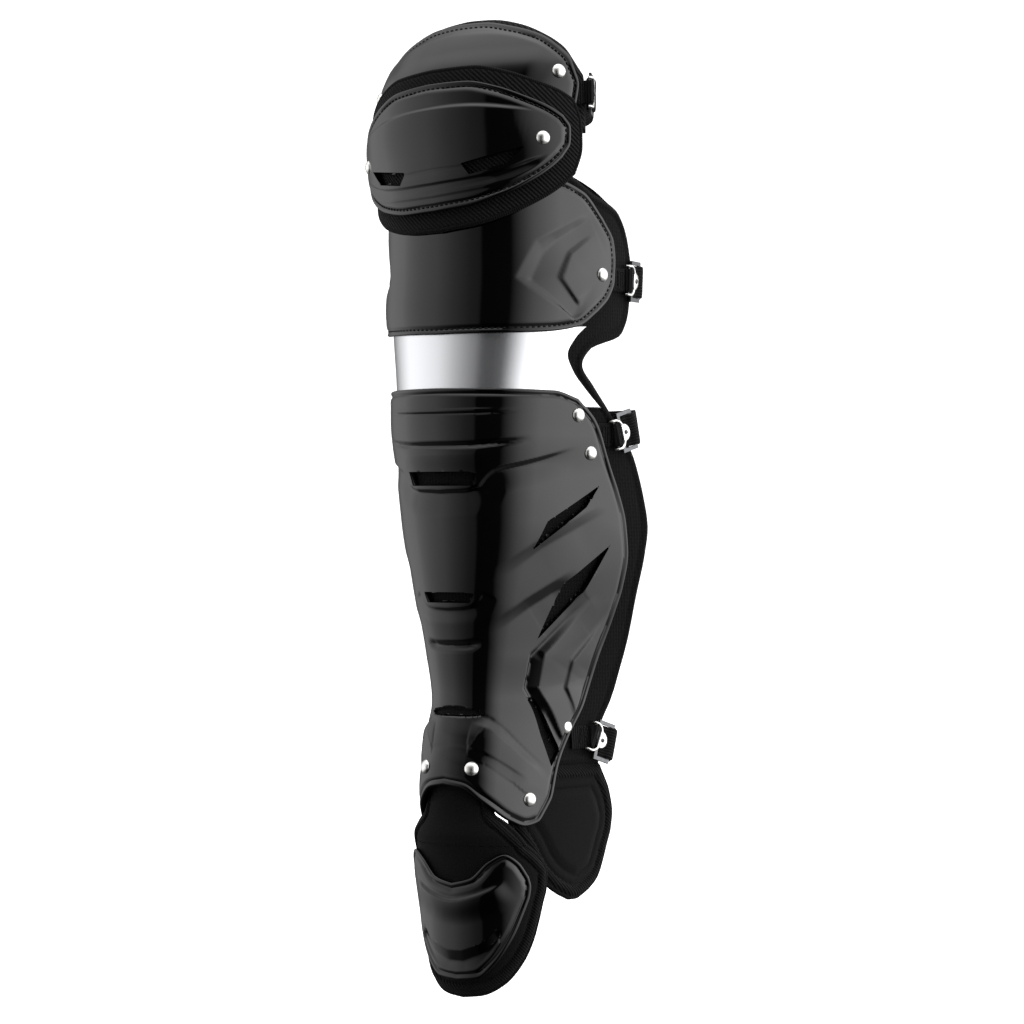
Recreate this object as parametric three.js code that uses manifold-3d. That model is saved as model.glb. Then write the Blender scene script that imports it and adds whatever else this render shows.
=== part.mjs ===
// Catcher's leg guard for an adult's left leg, in millimetres, +Z up the leg.
// The origin is the centre of the knee joint on the leg's axis, -Y is the front, +X the outer side.
import * as THREE from "three";
import { mergeVertices } from "three/addons/utils/BufferGeometryUtils.js";
import Module from "manifold-3d";

const wasm = await Module();
wasm.setup();

// Driving sizes
const kneeToAnkle = 419; // knee centre down to the front ankle rivets
const thighRise = 77; // knee centre up to the top of the thigh pad
const toeLength = 127; // from the front ankle rivets down to the tip of the toe pad
const shinFront = 62; // leg axis to the face that the shin plates rest on
const kneeFront = 71.5; // leg axis to the face that the knee cup rests on
const thighFront = 61; // leg axis to the face that the thigh plate rests on
const toeFront = 53; // leg axis to the face of the instep flap
const wingWrap = 150; // from the front centre line round to the widest edge of the leg pad
const cupWrap = 90; // the same to the edge of the knee cup
const thighWrap = 100; // the same to the edge of the thigh pad
const toeWrap = 65; // the same to the edge of the toe pad
const cupHeight = 80; // knee cup, top to bottom
const cupBorder = 9; // mesh border of the knee pad all round the cup
const cupLean = -5; // degrees that the knee cup is turned, outer side up
const thighLean = -4; // degrees that the thigh plate is turned
const shellThick = 3;
const bandThick = 2.4;
const padThick = 9;
const padEdge = 5; // thickness of a pad at its piped edge
const flapThick = 4;
const flapSunk = 2.4; // how far the flap's upper part lies under the shin plate
const kneePadThick = 3.7;
const kneePadEase = 0.7; // how much thinner it is along its top edge, over the thigh plate
const seatGap = 0.8; // between a plate and the pad that it lies on
const gap = 0.3; // between pieces that touch
const rivetHead = 9.2; // diameter
const rivetRise = 2.4;
const rivetShank = 4;
const webThick = 1.8;
const tabWidth = 15;
const strapWidth = 22;
const strapThick = 1.8;
const barReach = 20; // length of the wire bar in a tab's loop
const barRadius = 1;
const barRise = 2.9; // bar axis above the pad's face
const slideLength = 13.4;
const slideHeight = 26;
const slideThick = 1.6;
const slideRail = 2.4;
const hookPlate = 11.4; // height of the hook's plate
const hookThick = 1.4;
const clawRadius = 0.9;
const frontBias = 1.25; // power that gives more steps where the front is round

// Monotone curve through the rows of a table, for one column
function along(table, column, x) {
  const last = table.length - 1;
  if (x <= table[0][0]) return table[0][column];
  if (x >= table[last][0]) return table[last][column];
  let k = 0;
  while (table[k + 1][0] < x) k += 1;
  const step = (i) => table[i + 1][0] - table[i][0];
  const slope = (i) => (table[i + 1][column] - table[i][column]) / step(i);
  const bend = (i) => {
    if (i === 0) return slope(0);
    if (i === last) return slope(last - 1);
    const before = slope(i - 1);
    const after = slope(i);
    if (before * after <= 0) return 0;
    const w1 = 2 * step(i) + step(i - 1);
    const w2 = step(i) + 2 * step(i - 1);
    return (w1 + w2) / (w1 / before + w2 / after);
  };
  const h = step(k);
  const t = (x - table[k][0]) / h;
  const a = 2 * t ** 3 - 3 * t ** 2 + 1;
  const b = t ** 3 - 2 * t ** 2 + t;
  const c = 3 * t ** 2 - 2 * t ** 3;
  const d = t ** 3 - t ** 2;
  return a * table[k][column] + b * h * bend(k) + c * table[k + 1][column] + d * h * bend(k + 1);
}

// Soft ramp from 0 to 1
function ramp(t) {
  const c = Math.min(1, Math.max(0, t));
  return c * c * (3 - 2 * c);
}

// A form is the face that plates and pads are laid on. Its table has a row for each level:
// level (height share from the base), front, nose (radius of the round front), turn (degrees to
// where the side begins) and side (radius of the side). A place on it is wrap (distance round from
// the front centre line, + on the outer side), z and rise (out from the face).
function makeForm({ rows, height, base = 0, front, wrap, lean = 0, pivot = 0 }) {
  const table = rows
    .map(([level, f, nose, turn, side]) => [
      base + level * height,
      f * front,
      nose * front,
      turn,
      side * wrap,
    ])
    .sort((p, q) => p[0] - q[0]);
  const leanBy = THREE.MathUtils.degToRad(lean);
  const axis = new THREE.Vector3(0, 1, 0);
  const turned = (v) => {
    v.z -= pivot;
    v.applyAxisAngle(axis, leanBy);
    v.z += pivot;
    return v;
  };
  const section = (s, z) => {
    const f = along(table, 1, z);
    const nose = along(table, 2, z);
    const turn = THREE.MathUtils.degToRad(along(table, 3, z));
    const side = along(table, 4, z);
    const a = Math.abs(s);
    const flat = nose * turn;
    const angle = a < flat ? a / nose : turn + (a - flat) / side;
    const inNose = Math.min(angle, turn);
    let x = nose * Math.sin(inNose);
    let y = -f + nose * (1 - Math.cos(inNose));
    if (a > flat) {
      x += side * (Math.sin(angle) - Math.sin(turn));
      y += side * (Math.cos(turn) - Math.cos(angle));
    }
    return { x, y, angle, sign: s < 0 ? -1 : 1 };
  };
  const face = (s, z) => {
    const p = section(s, z);
    return new THREE.Vector3(p.x * p.sign, p.y, z);
  };
  // Frame with x round the leg towards the back of that side, y up and z out of the face
  const frame = (s, z, rise = 0) => {
    const p = section(s, z);
    const out = new THREE.Vector3(Math.sin(p.angle) * p.sign, -Math.cos(p.angle), 0);
    const step = 1;
    const up = face(s, z + step).sub(face(s, z - step)).normalize();
    const round = up.clone().cross(out).normalize();
    const normal = round.clone().cross(up);
    for (const v of [round, up, normal]) v.applyAxisAngle(axis, leanBy);
    const place = new THREE.Matrix4().makeBasis(round, up, normal);
    return place.setPosition(turned(face(s, z)).addScaledVector(normal, rise));
  };
  const at = (s, z, rise = 0) => new THREE.Vector3().setFromMatrixPosition(frame(s, z, rise));
  return { at, frame };
}

const legForm = makeForm({
  height: -kneeToAnkle,
  front: shinFront,
  wrap: wingWrap,
  // level, front, nose, turn, side
  rows: [
    [-0.034, 1.0, 1.065, 66, 1.0],
    [0.197, 1.0, 1.097, 66, 1.0],
    [0.297, 0.984, 1.032, 65, 1.13],
    [0.397, 0.992, 0.935, 62, 1.87],
    [0.474, 1.0, 0.919, 62, 2.13],
    [0.582, 0.935, 0.871, 60, 2.13],
    [0.705, 0.839, 0.661, 58, 2.0],
    [0.782, 0.758, 0.516, 58, 1.87],
    [0.859, 0.71, 0.435, 58, 1.73],
    [0.913, 0.806, 0.468, 60, 1.6],
    [0.99, 0.903, 0.484, 60, 1.47],
    [1.17, 0.903, 0.484, 60, 1.2],
  ],
});
const cupForm = makeForm({
  height: cupHeight,
  front: kneeFront,
  wrap: cupWrap,
  lean: cupLean,
  pivot: -0.1 * cupHeight,
  rows: [
    [0.75, 0.874, 1.175, 60, 1.33],
    [0.375, 0.958, 1.21, 60, 1.33],
    [0, 1.0, 1.217, 60, 1.33],
    [-0.375, 1.0, 1.217, 60, 1.33],
    [-0.75, 0.996, 1.18, 60, 1.33],
  ],
});
const thighForm = makeForm({
  height: thighRise,
  front: thighFront,
  wrap: thighWrap,
  lean: thighLean,
  rows: [
    [-0.13, 0.965, 1.3, 60, 1.4],
    [0.182, 0.965, 1.32, 60, 1.4],
    [0.468, 0.918, 1.36, 60, 1.4],
    [0.65, 0.77, 1.295, 60, 1.4],
    [0.857, 0.557, 1.18, 60, 1.4],
    [1.065, 0.262, 1.1, 60, 1.4],
  ],
});
const toeForm = makeForm({
  base: -kneeToAnkle,
  height: -toeLength,
  front: toeFront,
  wrap: toeWrap,
  rows: [
    [-0.29, 0.943, 0.547, 70, 1.85],
    [-0.002, 1.05, 0.575, 72, 1.85],
    [0.127, 1.019, 0.868, 75, 1.85],
    [0.2, 1.0, 0.943, 75, 1.85],
    [0.299, 0.943, 0.925, 75, 1.85],
    [0.549, 0.858, 0.849, 75, 1.85],
    [0.806, 0.802, 0.811, 75, 1.85],
    [1.06, 0.717, 0.792, 75, 1.85],
  ],
});

// Closed solid between two offsets of a form, over a region of it that (u, v) in 0..1 spans
function sheetGeometry({ form, across, down, region, outer, inner }) {
  const positions = [];
  const rises = [outer, inner];
  for (const rise of rises) {
    for (let j = 0; j <= down; j += 1) {
      for (let i = 0; i <= across; i += 1) {
        const u = i / across;
        const v = j / down;
        const [s, z] = region(u, v);
        positions.push(...form.at(s, z, rise(u, v, z)).toArray());
      }
    }
  }
  const row = across + 1;
  const layer = row * (down + 1);
  const index = [];
  const quad = (a, b, c, d) => index.push(a, c, b, b, c, d);
  for (let j = 0; j < down; j += 1) {
    for (let i = 0; i < across; i += 1) {
      const a = j * row + i;
      quad(a, a + 1, a + row, a + row + 1);
      quad(layer + a + 1, layer + a, layer + a + row + 1, layer + a + row);
    }
  }
  for (let i = 0; i < across; i += 1) {
    const foot = down * row + i;
    quad(layer + i, layer + i + 1, i, i + 1);
    quad(foot, foot + 1, layer + foot, layer + foot + 1);
  }
  for (let j = 0; j < down; j += 1) {
    const near = j * row;
    const far = near + across;
    quad(layer + near, near, layer + near + row, near + row);
    quad(far, layer + far, far + row, layer + far + row);
  }
  const geometry = new THREE.BufferGeometry();
  geometry.setAttribute("position", new THREE.Float32BufferAttribute(positions, 3));
  geometry.setIndex(index);
  return geometry;
}

// Solids for cuts and joins
function toSolid(geometry, place) {
  const bare = geometry.clone();
  bare.deleteAttribute("normal");
  bare.deleteAttribute("uv");
  if (place) bare.applyMatrix4(place);
  const merged = mergeVertices(bare, 1e-4);
  return new wasm.Manifold(
    new wasm.Mesh({
      numProp: 3,
      vertProperties: new Float32Array(merged.attributes.position.array),
      triVerts: new Uint32Array(merged.index.array),
    }),
  );
}
function toGeometry(solid) {
  const mesh = solid.getMesh();
  const geometry = new THREE.BufferGeometry();
  const points = new Float32Array(mesh.numVert * 3);
  for (let i = 0; i < mesh.numVert; i += 1) {
    for (let k = 0; k < 3; k += 1) points[i * 3 + k] = mesh.vertProperties[i * mesh.numProp + k];
  }
  geometry.setAttribute("position", new THREE.BufferAttribute(points, 3));
  geometry.setIndex(new THREE.BufferAttribute(new Uint32Array(mesh.triVerts), 1));
  return geometry;
}

// Materials
const finish = (color, roughness, metalness) =>
  new THREE.MeshStandardMaterial({ color, roughness, metalness, flatShading: true });
const glossPlastic = finish("#17171a", 0.18, 0);
const silverPlastic = finish("#b9bbbf", 0.25, 0.6);
const meshCloth = finish("#101012", 0.9, 0);
const neoprene = finish("#131315", 0.85, 0);
const webbing = finish("#0d0d0f", 0.8, 0);
const elastic = finish("#161618", 0.85, 0);
const nickel = finish("#d6d6d4", 0.2, 1);
const satinMetal = finish("#9a9b9d", 0.4, 1);

const guard = new THREE.Group();
function add(name, geometry, material) {
  const shaded = geometry.index ? geometry.toNonIndexed() : geometry;
  shaded.computeVertexNormals();
  const mesh = new THREE.Mesh(shaded, material.clone());
  mesh.name = name;
  guard.add(mesh);
}

// Region with a straight middle line: top and bottom tables hold u from the middle to the edge and
// z, the edge table holds v from the top and the wrap of the edge there
function panel({ top, bottom, edge }) {
  return (u, v) => {
    const side = Math.sign(u - 0.5) * Math.abs(2 * u - 1) ** frontBias;
    const high = along(top, 1, Math.abs(side));
    const low = along(bottom, 1, Math.abs(side));
    return [side * along(edge, 1, v), high + (low - high) * v];
  };
}
const scaled = (table, size) => table.map(([a, b]) => [a, b * size]);

// How far (u, v) is from the rim: 0 on it, 1 well inside
const inside = (u, v, sharp = 6) => (1 - Math.abs(2 * u - 1) ** sharp) * (1 - Math.abs(2 * v - 1) ** sharp);
const padInner = (thick, edge) => (u, v) => -(edge + (thick - edge) * inside(u, v));
const flush = () => 0;

// Thigh
const thighPadOutline = {
  top: scaled(
    [[0, 1], [0.2, 0.98], [0.4, 0.92], [0.6, 0.82], [0.8, 0.68], [0.92, 0.54], [1, 0.42]],
    thighRise,
  ),
  bottom: scaled([[0, -0.06], [1, -0.06]], thighRise),
  edge: scaled([[0, 0.95], [0.3, 0.97], [1, 0.96]], thighWrap),
};
const thighShellOutline = {
  top: scaled(
    [[0, 0.91], [0.2, 0.9], [0.4, 0.85], [0.65, 0.76], [0.86, 0.62], [0.95, 0.54], [1, 0.45]],
    thighRise,
  ),
  bottom: scaled([[0, 0.04], [1, 0.04]], thighRise),
  edge: scaled([[0, 0.86], [0.3, 0.895], [0.6, 0.88], [1, 0.82]], thighWrap),
};

// Knee
const cupOutline = {
  top: scaled([[0, 0.37], [0.3, 0.355], [0.52, 0.29], [0.72, 0.2], [0.9, 0.11], [1, 0.04]], cupHeight),
  bottom: scaled(
    [[0, -0.635], [0.25, -0.625], [0.55, -0.56], [0.78, -0.46], [0.92, -0.37], [1, -0.3]],
    cupHeight,
  ),
  edge: scaled([[0, 0.95], [0.3, 1], [0.65, 0.99], [1, 0.92]], cupWrap),
};
const kneePadOutline = {
  top: cupOutline.top.map(([u, z]) => [u, z + cupBorder * (1 + 0.1 * u)]),
  bottom: cupOutline.bottom.map(([u, z]) => [u, z - cupBorder * (1.25 - 0.3 * u)]),
  edge: cupOutline.edge.map(([v, s]) => [v, s + cupBorder]),
};

// Lower knee, band, shin and the pad behind them
const lowerKneeOutline = {
  top: scaled([[0, -0.062], [0.6, -0.066], [0.85, -0.086], [1, -0.124]], kneeToAnkle),
  bottom: scaled([[0, -0.304], [0.55, -0.3], [0.85, -0.289], [1, -0.265]], kneeToAnkle),
  edge: scaled([[0, 0.75], [0.25, 0.82], [0.45, 0.83], [0.65, 0.82], [0.85, 0.77], [1, 0.7]], wingWrap),
};
const bandOutline = {
  top: scaled([[0, -0.29], [1, -0.288]], kneeToAnkle),
  bottom: scaled([[0, -0.412], [1, -0.412]], kneeToAnkle),
  edge: scaled([[0, 0.66], [0.15, 0.6], [0.35, 0.56], [0.55, 0.59], [0.75, 0.65], [1, 0.74]], wingWrap),
};
const shinOutline = {
  top: scaled([[0, -0.384], [0.8, -0.386], [1, -0.398]], kneeToAnkle),
  bottom: scaled(
    [[0, -0.98], [0.16, -0.985], [0.33, -1.005], [0.6, -1.036], [0.76, -1.045], [0.9, -1.04], [1, -1.02]],
    kneeToAnkle,
  ),
  edge: scaled(
    [
      [0, 0.6], [0.05, 0.69], [0.13, 0.76], [0.225, 0.825], [0.305, 0.855], [0.37, 0.86], [0.46, 0.825],
      [0.52, 0.78], [0.65, 0.67], [0.8, 0.57], [0.88, 0.52], [0.97, 0.49], [1, 0.46],
    ],
    wingWrap,
  ),
};
// The plates above and below rise over the band's edges
const bandRise = bandThick + 2.5 * gap;
const bandFade = 15;
const bandMargin = 6;
const bandHead = -0.286 * kneeToAnkle;
const bandFoot = -0.414 * kneeToAnkle;
const overBandFoot = (z) => bandRise * (1 - ramp((bandFoot - bandMargin - z) / bandFade));
const overBandHead = (z) => bandRise * ramp((bandHead + bandMargin + bandFade - z) / bandFade);
const legPadOutline = {
  top: scaled([[0, -0.043], [0.7, -0.05], [1, -0.085]], kneeToAnkle),
  bottom: scaled([[0, -0.945], [0.25, -0.948], [0.75, -0.957], [1, -0.957]], kneeToAnkle),
  edge: scaled(
    [
      [0, 0.72], [0.03, 0.89], [0.08, 0.965], [0.13, 0.99], [0.2, 0.97], [0.245, 0.91], [0.272, 0.71],
      [0.3, 0.66], [0.335, 0.72], [0.38, 0.81], [0.47, 0.965], [0.53, 1.0], [0.58, 1.013], [0.63, 0.99],
      [0.7, 0.94], [0.78, 0.89], [0.86, 0.82], [0.93, 0.76], [1, 0.785],
    ],
    wingWrap,
  ),
};

// Toe, in shares of its length below the front ankle rivets
const fromAnkle = (table) => table.map(([u, share]) => [u, -kneeToAnkle - share * toeLength]);
const flapOutline = {
  top: fromAnkle([[0, -0.169], [1, -0.169]]),
  bottom: fromAnkle([[0, 0.239], [1, 0.239]]),
  edge: scaled([[0, 0.46], [0.6, 0.47], [0.72, 0.58], [0.86, 0.69], [1, 0.77]], toeWrap),
};
const toePadOutline = {
  top: fromAnkle([[0, 0.242], [1, 0.242]]),
  bottom: fromAnkle([[0, 1], [0.25, 0.987], [0.5, 0.936], [0.75, 0.828], [0.9, 0.721], [1, 0.613]]),
  edge: scaled([[0, 0.77], [0.15, 0.9], [0.35, 1], [0.6, 0.985], [0.8, 0.93], [1, 0.88]], toeWrap),
};
const toeShellOutline = {
  top: fromAnkle([[0, 0.424], [0.25, 0.398], [0.5, 0.312], [0.72, 0.273], [0.88, 0.312], [1, 0.39]]),
  bottom: fromAnkle([[0, 0.914], [0.3, 0.901], [0.55, 0.828], [0.8, 0.699], [1, 0.549]]),
  edge: scaled([[0, 0.75], [0.3, 0.765], [0.6, 0.75], [1, 0.7]], toeWrap),
};

// Ankle wings: v, then the wraps of the near and far edges as shares
const wingRows = [
  [0, 0.28, 0.785],
  [0.22, 0.28, 0.87],
  [0.4, 0.3, 0.9],
  [0.5, 0.33, 0.895],
  [0.62, 0.38, 0.87],
  [0.74, 0.42, 0.845],
  [0.86, 0.48, 0.81],
  [0.94, 0.545, 0.75],
  [1, 0.62, 0.675],
];
const wingTop = -0.959 * kneeToAnkle;
const wingFoot = -1.16 * kneeToAnkle;
const wingRegion = (sign) => (u, v) => {
  const near = along(wingRows, 1, v) * wingWrap;
  const far = along(wingRows, 2, v) * wingWrap;
  const share = sign > 0 ? u : 1 - u;
  return [sign * (near + (far - near) * share), wingTop + (wingFoot - wingTop) * v];
};

// Vents, as corners of a four-sided hole: wrap and z, clockwise from the top left on the outer side
const corners = (list, wrap, height) => list.map(([s, z]) => [s * wrap, z * height]);
const cupVent = corners([[0.225, -0.29], [0.66, -0.2], [0.54, -0.33], [0.28, -0.385]], cupWrap, cupHeight);
const shinVents = [
  corners([[0.447, -0.582], [0.72, -0.528], [0.64, -0.562], [0.37, -0.626]], wingWrap, kneeToAnkle),
  corners([[0.52, -0.675], [0.76, -0.618], [0.61, -0.69], [0.365, -0.762]], wingWrap, kneeToAnkle),
  corners([[0.3, -0.85], [0.335, -0.85], [0.51, -0.935], [0.47, -0.957]], wingWrap, kneeToAnkle),
];
const frontVents = [
  corners([[-0.165, -0.508], [0.165, -0.508], [0.145, -0.529], [-0.145, -0.529]], wingWrap, kneeToAnkle),
  corners([[-0.12, -0.689], [0.12, -0.689], [0.1, -0.705], [-0.1, -0.705]], wingWrap, kneeToAnkle),
];
function ventCut(form, [a, b, c, d], sign) {
  const mix = (p, q, t) => p + (q - p) * t;
  const region = (u, v) => {
    const t = sign > 0 ? u : 1 - u;
    return [
      sign * mix(mix(a[0], b[0], t), mix(d[0], c[0], t), v),
      mix(mix(a[1], b[1], t), mix(d[1], c[1], t), v),
    ];
  };
  const above = 4 * shellThick;
  return toSolid(sheetGeometry({ form, across: 1, down: 1, region, outer: () => above, inner: () => -1 }));
}

// Rivets: form, wrap, z and how far the plate rises from its seat there
const rivetRows = [
  { name: "rivet_thigh", form: thighForm, wrap: 0.75 * thighWrap, z: 0.43 * thighRise },
  { name: "rivet_cup", form: cupForm, wrap: 0.79 * cupWrap, z: -0.14 * cupHeight },
  { name: "rivet_lower_knee", form: legForm, wrap: 0.735 * wingWrap, z: -0.21 * kneeToAnkle },
  {
    name: "rivet_shin_upper",
    form: legForm,
    wrap: 0.597 * wingWrap,
    z: -0.4235 * kneeToAnkle,
    rise: overBandFoot,
  },
  { name: "rivet_shin_lower", form: legForm, wrap: 0.67 * wingWrap, z: -0.48 * kneeToAnkle },
  { name: "rivet_ankle_side", form: legForm, wrap: 0.52 * wingWrap, z: -0.898 * kneeToAnkle },
  { name: "rivet_ankle_low", form: legForm, wrap: 0.367 * wingWrap, z: -1.004 * kneeToAnkle },
  { name: "rivet_ankle_front", form: legForm, wrap: 0.107 * wingWrap, z: -0.957 * kneeToAnkle },
];
const sides = [
  ["outer", 1],
  ["inner", -1],
];
const tilt = new THREE.Matrix4().makeRotationX(Math.PI / 2);
function cylinder(radius, length, centre, segments = 6) {
  const geometry = new THREE.CylinderGeometry(radius, radius, length, segments);
  geometry.applyMatrix4(tilt);
  geometry.translate(0, 0, centre);
  return geometry;
}
const rivetPlace = (row, sign) =>
  row.form.frame(sign * row.wrap, row.z, seatGap + (row.rise ? row.rise(row.z) : 0));
function drilled(solid, names) {
  let result = solid;
  const depth = 6 * shellThick;
  for (const row of rivetRows.filter((r) => names.includes(r.name))) {
    for (const [, sign] of sides) {
      const hole = cylinder(rivetShank / 2 + 2 * gap, depth, 0);
      result = result.subtract(toSolid(hole, rivetPlace(row, sign)));
    }
  }
  return result;
}
function rivetGeometry() {
  const r = rivetHead / 2;
  const seat = shellThick + gap;
  const profile = [
    [0, gap],
    [rivetShank / 2, gap],
    [rivetShank / 2, seat],
    [r, seat],
    [r * 0.78, seat + 0.7 * rivetRise],
    [0, seat + rivetRise],
  ].map(([x, y]) => new THREE.Vector2(x, y));
  const geometry = new THREE.LatheGeometry(profile, 6);
  geometry.applyMatrix4(tilt);
  return geometry;
}

// Buckles: form, bar's wrap and z, lean of the bar, fold of the slide behind it and its swing on the
// hook in degrees, edge of the pad there, reach of the strap behind it and how soon it turns inwards
const buckleRows = [
  { name: "thigh", form: thighForm, bar: 0.97 * thighWrap, z: 0.27 * thighRise, lean: 0, fold: 52, swing: 0,
    root: 0.72 * thighWrap, edge: 0.97 * thighWrap, reach: 0.7 * thighWrap, square: 2.2 },
  { name: "knee", form: legForm, bar: 0.925 * wingWrap, z: -0.215 * kneeToAnkle, lean: 4, fold: 8, swing: 0,
    root: 0.735 * wingWrap, edge: 0.99 * wingWrap, reach: 0.213 * wingWrap, square: 1.6 },
  { name: "calf", form: legForm, bar: 0.82 * wingWrap, z: -0.452 * kneeToAnkle, lean: -16, fold: 4, swing: 0,
    root: 0.67 * wingWrap, edge: 0.95 * wingWrap, reach: 0.213 * wingWrap, square: 1.6 },
  { name: "ankle", form: legForm, bar: 0.69 * wingWrap, z: -0.915 * kneeToAnkle, lean: 12, fold: -4,
    swing: 7, root: 0.52 * wingWrap, edge: 0.785 * wingWrap, reach: 0.16 * wingWrap, square: 1.6 },
];
// Frame on the bar's axis, x towards the strap
const buckleFrame = (row) => {
  const place = row.form.frame(row.bar, row.z, barRise);
  place.multiply(new THREE.Matrix4().makeRotationZ(THREE.MathUtils.degToRad(-row.lean)));
  return place.multiply(new THREE.Matrix4().makeRotationY(THREE.MathUtils.degToRad(row.fold)));
};
// Frame of the slide, swung about the middle of the hook's plate
const swingAt = 5.6;
const slideFrame = (row) => {
  const place = buckleFrame(row);
  place.multiply(new THREE.Matrix4().makeTranslation(swingAt, 0, 0));
  place.multiply(new THREE.Matrix4().makeRotationZ(THREE.MathUtils.degToRad(row.swing)));
  return place.multiply(new THREE.Matrix4().makeTranslation(-swingAt, 0, 0));
};
const slant = (row, z) => Math.tan(THREE.MathUtils.degToRad(row.lean)) * (z - row.z);

// Webbing tab: flat under the plate, then up and round the bar
const tabRing = barRadius + gap + webThick * 0.7;
function tabRegion(row, grow) {
  return (u, v) => {
    const z = row.z + (0.5 - v) * (tabWidth + 2 * grow);
    const far = row.bar + slant(row, z);
    const near = row.root - 6;
    return [near - grow + (far - near + grow) * u, z];
  };
}
function tabSolid(row) {
  const lift = (u) => (barRise - webThick / 2) * ramp((u - 0.8) / 0.18);
  const flat = sheetGeometry({
    form: row.form,
    across: 5,
    down: 1,
    region: tabRegion(row, 0),
    outer: (u) => lift(u),
    inner: (u) => lift(u) - webThick,
  });
  const place = buckleFrame(row);
  const upright = new THREE.CylinderGeometry(tabRing, tabRing, tabWidth, 8);
  const bore = new THREE.CylinderGeometry(barRadius + gap, barRadius + gap, 2 * tabWidth, 6);
  return toSolid(flat).add(toSolid(upright, place)).subtract(toSolid(bore, place));
}
function tabSlot(row) {
  const grow = gap;
  const flat = sheetGeometry({
    form: row.form,
    across: 3,
    down: 1,
    region: tabRegion(row, grow),
    outer: () => 4 * webThick,
    inner: () => -webThick - gap,
  });
  return toSolid(flat);
}

// Strap: a loop over the slide's outer rail, back past the pad's edge, round behind the leg, and
// laid into the inner side's slot
const slideStart = 3.6;
const slideEnd = slideStart + slideLength;
const railX = slideEnd - slideRail / 2;
const innerEnd = (row) => -row.root + 6;
function strapPath(row) {
  const lead = railX + slideRail / 2 + gap + strapThick / 2;
  const turnAt = Math.max(row.edge - row.bar + 1.8, railX + 3.3);
  const place = slideFrame(row);
  const corner = new THREE.Vector3(turnAt, 0, 0).applyMatrix4(place);
  const points = [new THREE.Vector3(lead, 0, 0).applyMatrix4(place)];
  const steps = 11;
  for (let i = 0; i <= steps; i += 1) {
    const angle = (Math.PI * i) / steps;
    const y = corner.y + row.reach * Math.abs(Math.sin(angle)) ** row.square;
    points.push(new THREE.Vector3(corner.x * Math.cos(angle), y, corner.z));
  }
  points.push(row.form.at(-row.edge - 3, row.z, -webThick / 2));
  return points;
}
function ribbonGeometry(points, width, thick) {
  const positions = [];
  const up = new THREE.Vector3(0, 0, 1);
  points.forEach((p, i) => {
    const before = points[Math.max(0, i - 1)];
    const after = points[Math.min(points.length - 1, i + 1)];
    const forward = after.clone().sub(before);
    forward.z = 0;
    const out = forward.normalize().cross(up);
    for (const [a, b] of [[1, 1], [1, -1], [-1, -1], [-1, 1]]) {
      const q = p.clone().addScaledVector(up, (a * width) / 2).addScaledVector(out, (b * thick) / 2);
      positions.push(...q.toArray());
    }
  });
  const index = [];
  for (let i = 0; i + 1 < points.length; i += 1) {
    for (let k = 0; k < 4; k += 1) {
      const a = 4 * i + k;
      const b = 4 * i + ((k + 1) % 4);
      index.push(a, a + 4, b, b, a + 4, b + 4);
    }
  }
  const last = 4 * (points.length - 1);
  index.push(0, 1, 2, 0, 2, 3, last, last + 2, last + 1, last, last + 3, last + 2);
  const geometry = new THREE.BufferGeometry();
  geometry.setAttribute("position", new THREE.Float32BufferAttribute(positions, 3));
  geometry.setIndex(index);
  return geometry;
}
function laidSheet(row, grow, outer, inner) {
  const near = -row.edge - 5 - 3 * grow;
  const far = innerEnd(row) + grow;
  const region = (u, v) => [near + (far - near) * u, row.z + (0.5 - v) * (strapWidth + 2 * grow)];
  return toSolid(
    sheetGeometry({ form: row.form, across: 4, down: 1, region, outer: () => outer, inner: () => inner }),
  );
}
function strapSolid(row) {
  const ribbon = toSolid(ribbonGeometry(strapPath(row), strapWidth, strapThick));
  const place = slideFrame(row);
  const raise = place.clone().multiply(new THREE.Matrix4().makeTranslation(railX, 0, 0));
  const ring = slideRail / 2 + gap + strapThick * 0.6;
  const loop = new THREE.CylinderGeometry(ring, ring, slideHeight - 2 * slideRail - 2 * gap, 8);
  const laid = laidSheet(row, 0, 0, -webThick);
  return ribbon.add(laid).add(toSolid(loop, raise)).subtract(toSolid(slideGeometry(gap), place));
}
const strapSlot = (row) => laidSheet(row, gap, 4 * webThick, -webThick - gap);

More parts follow.
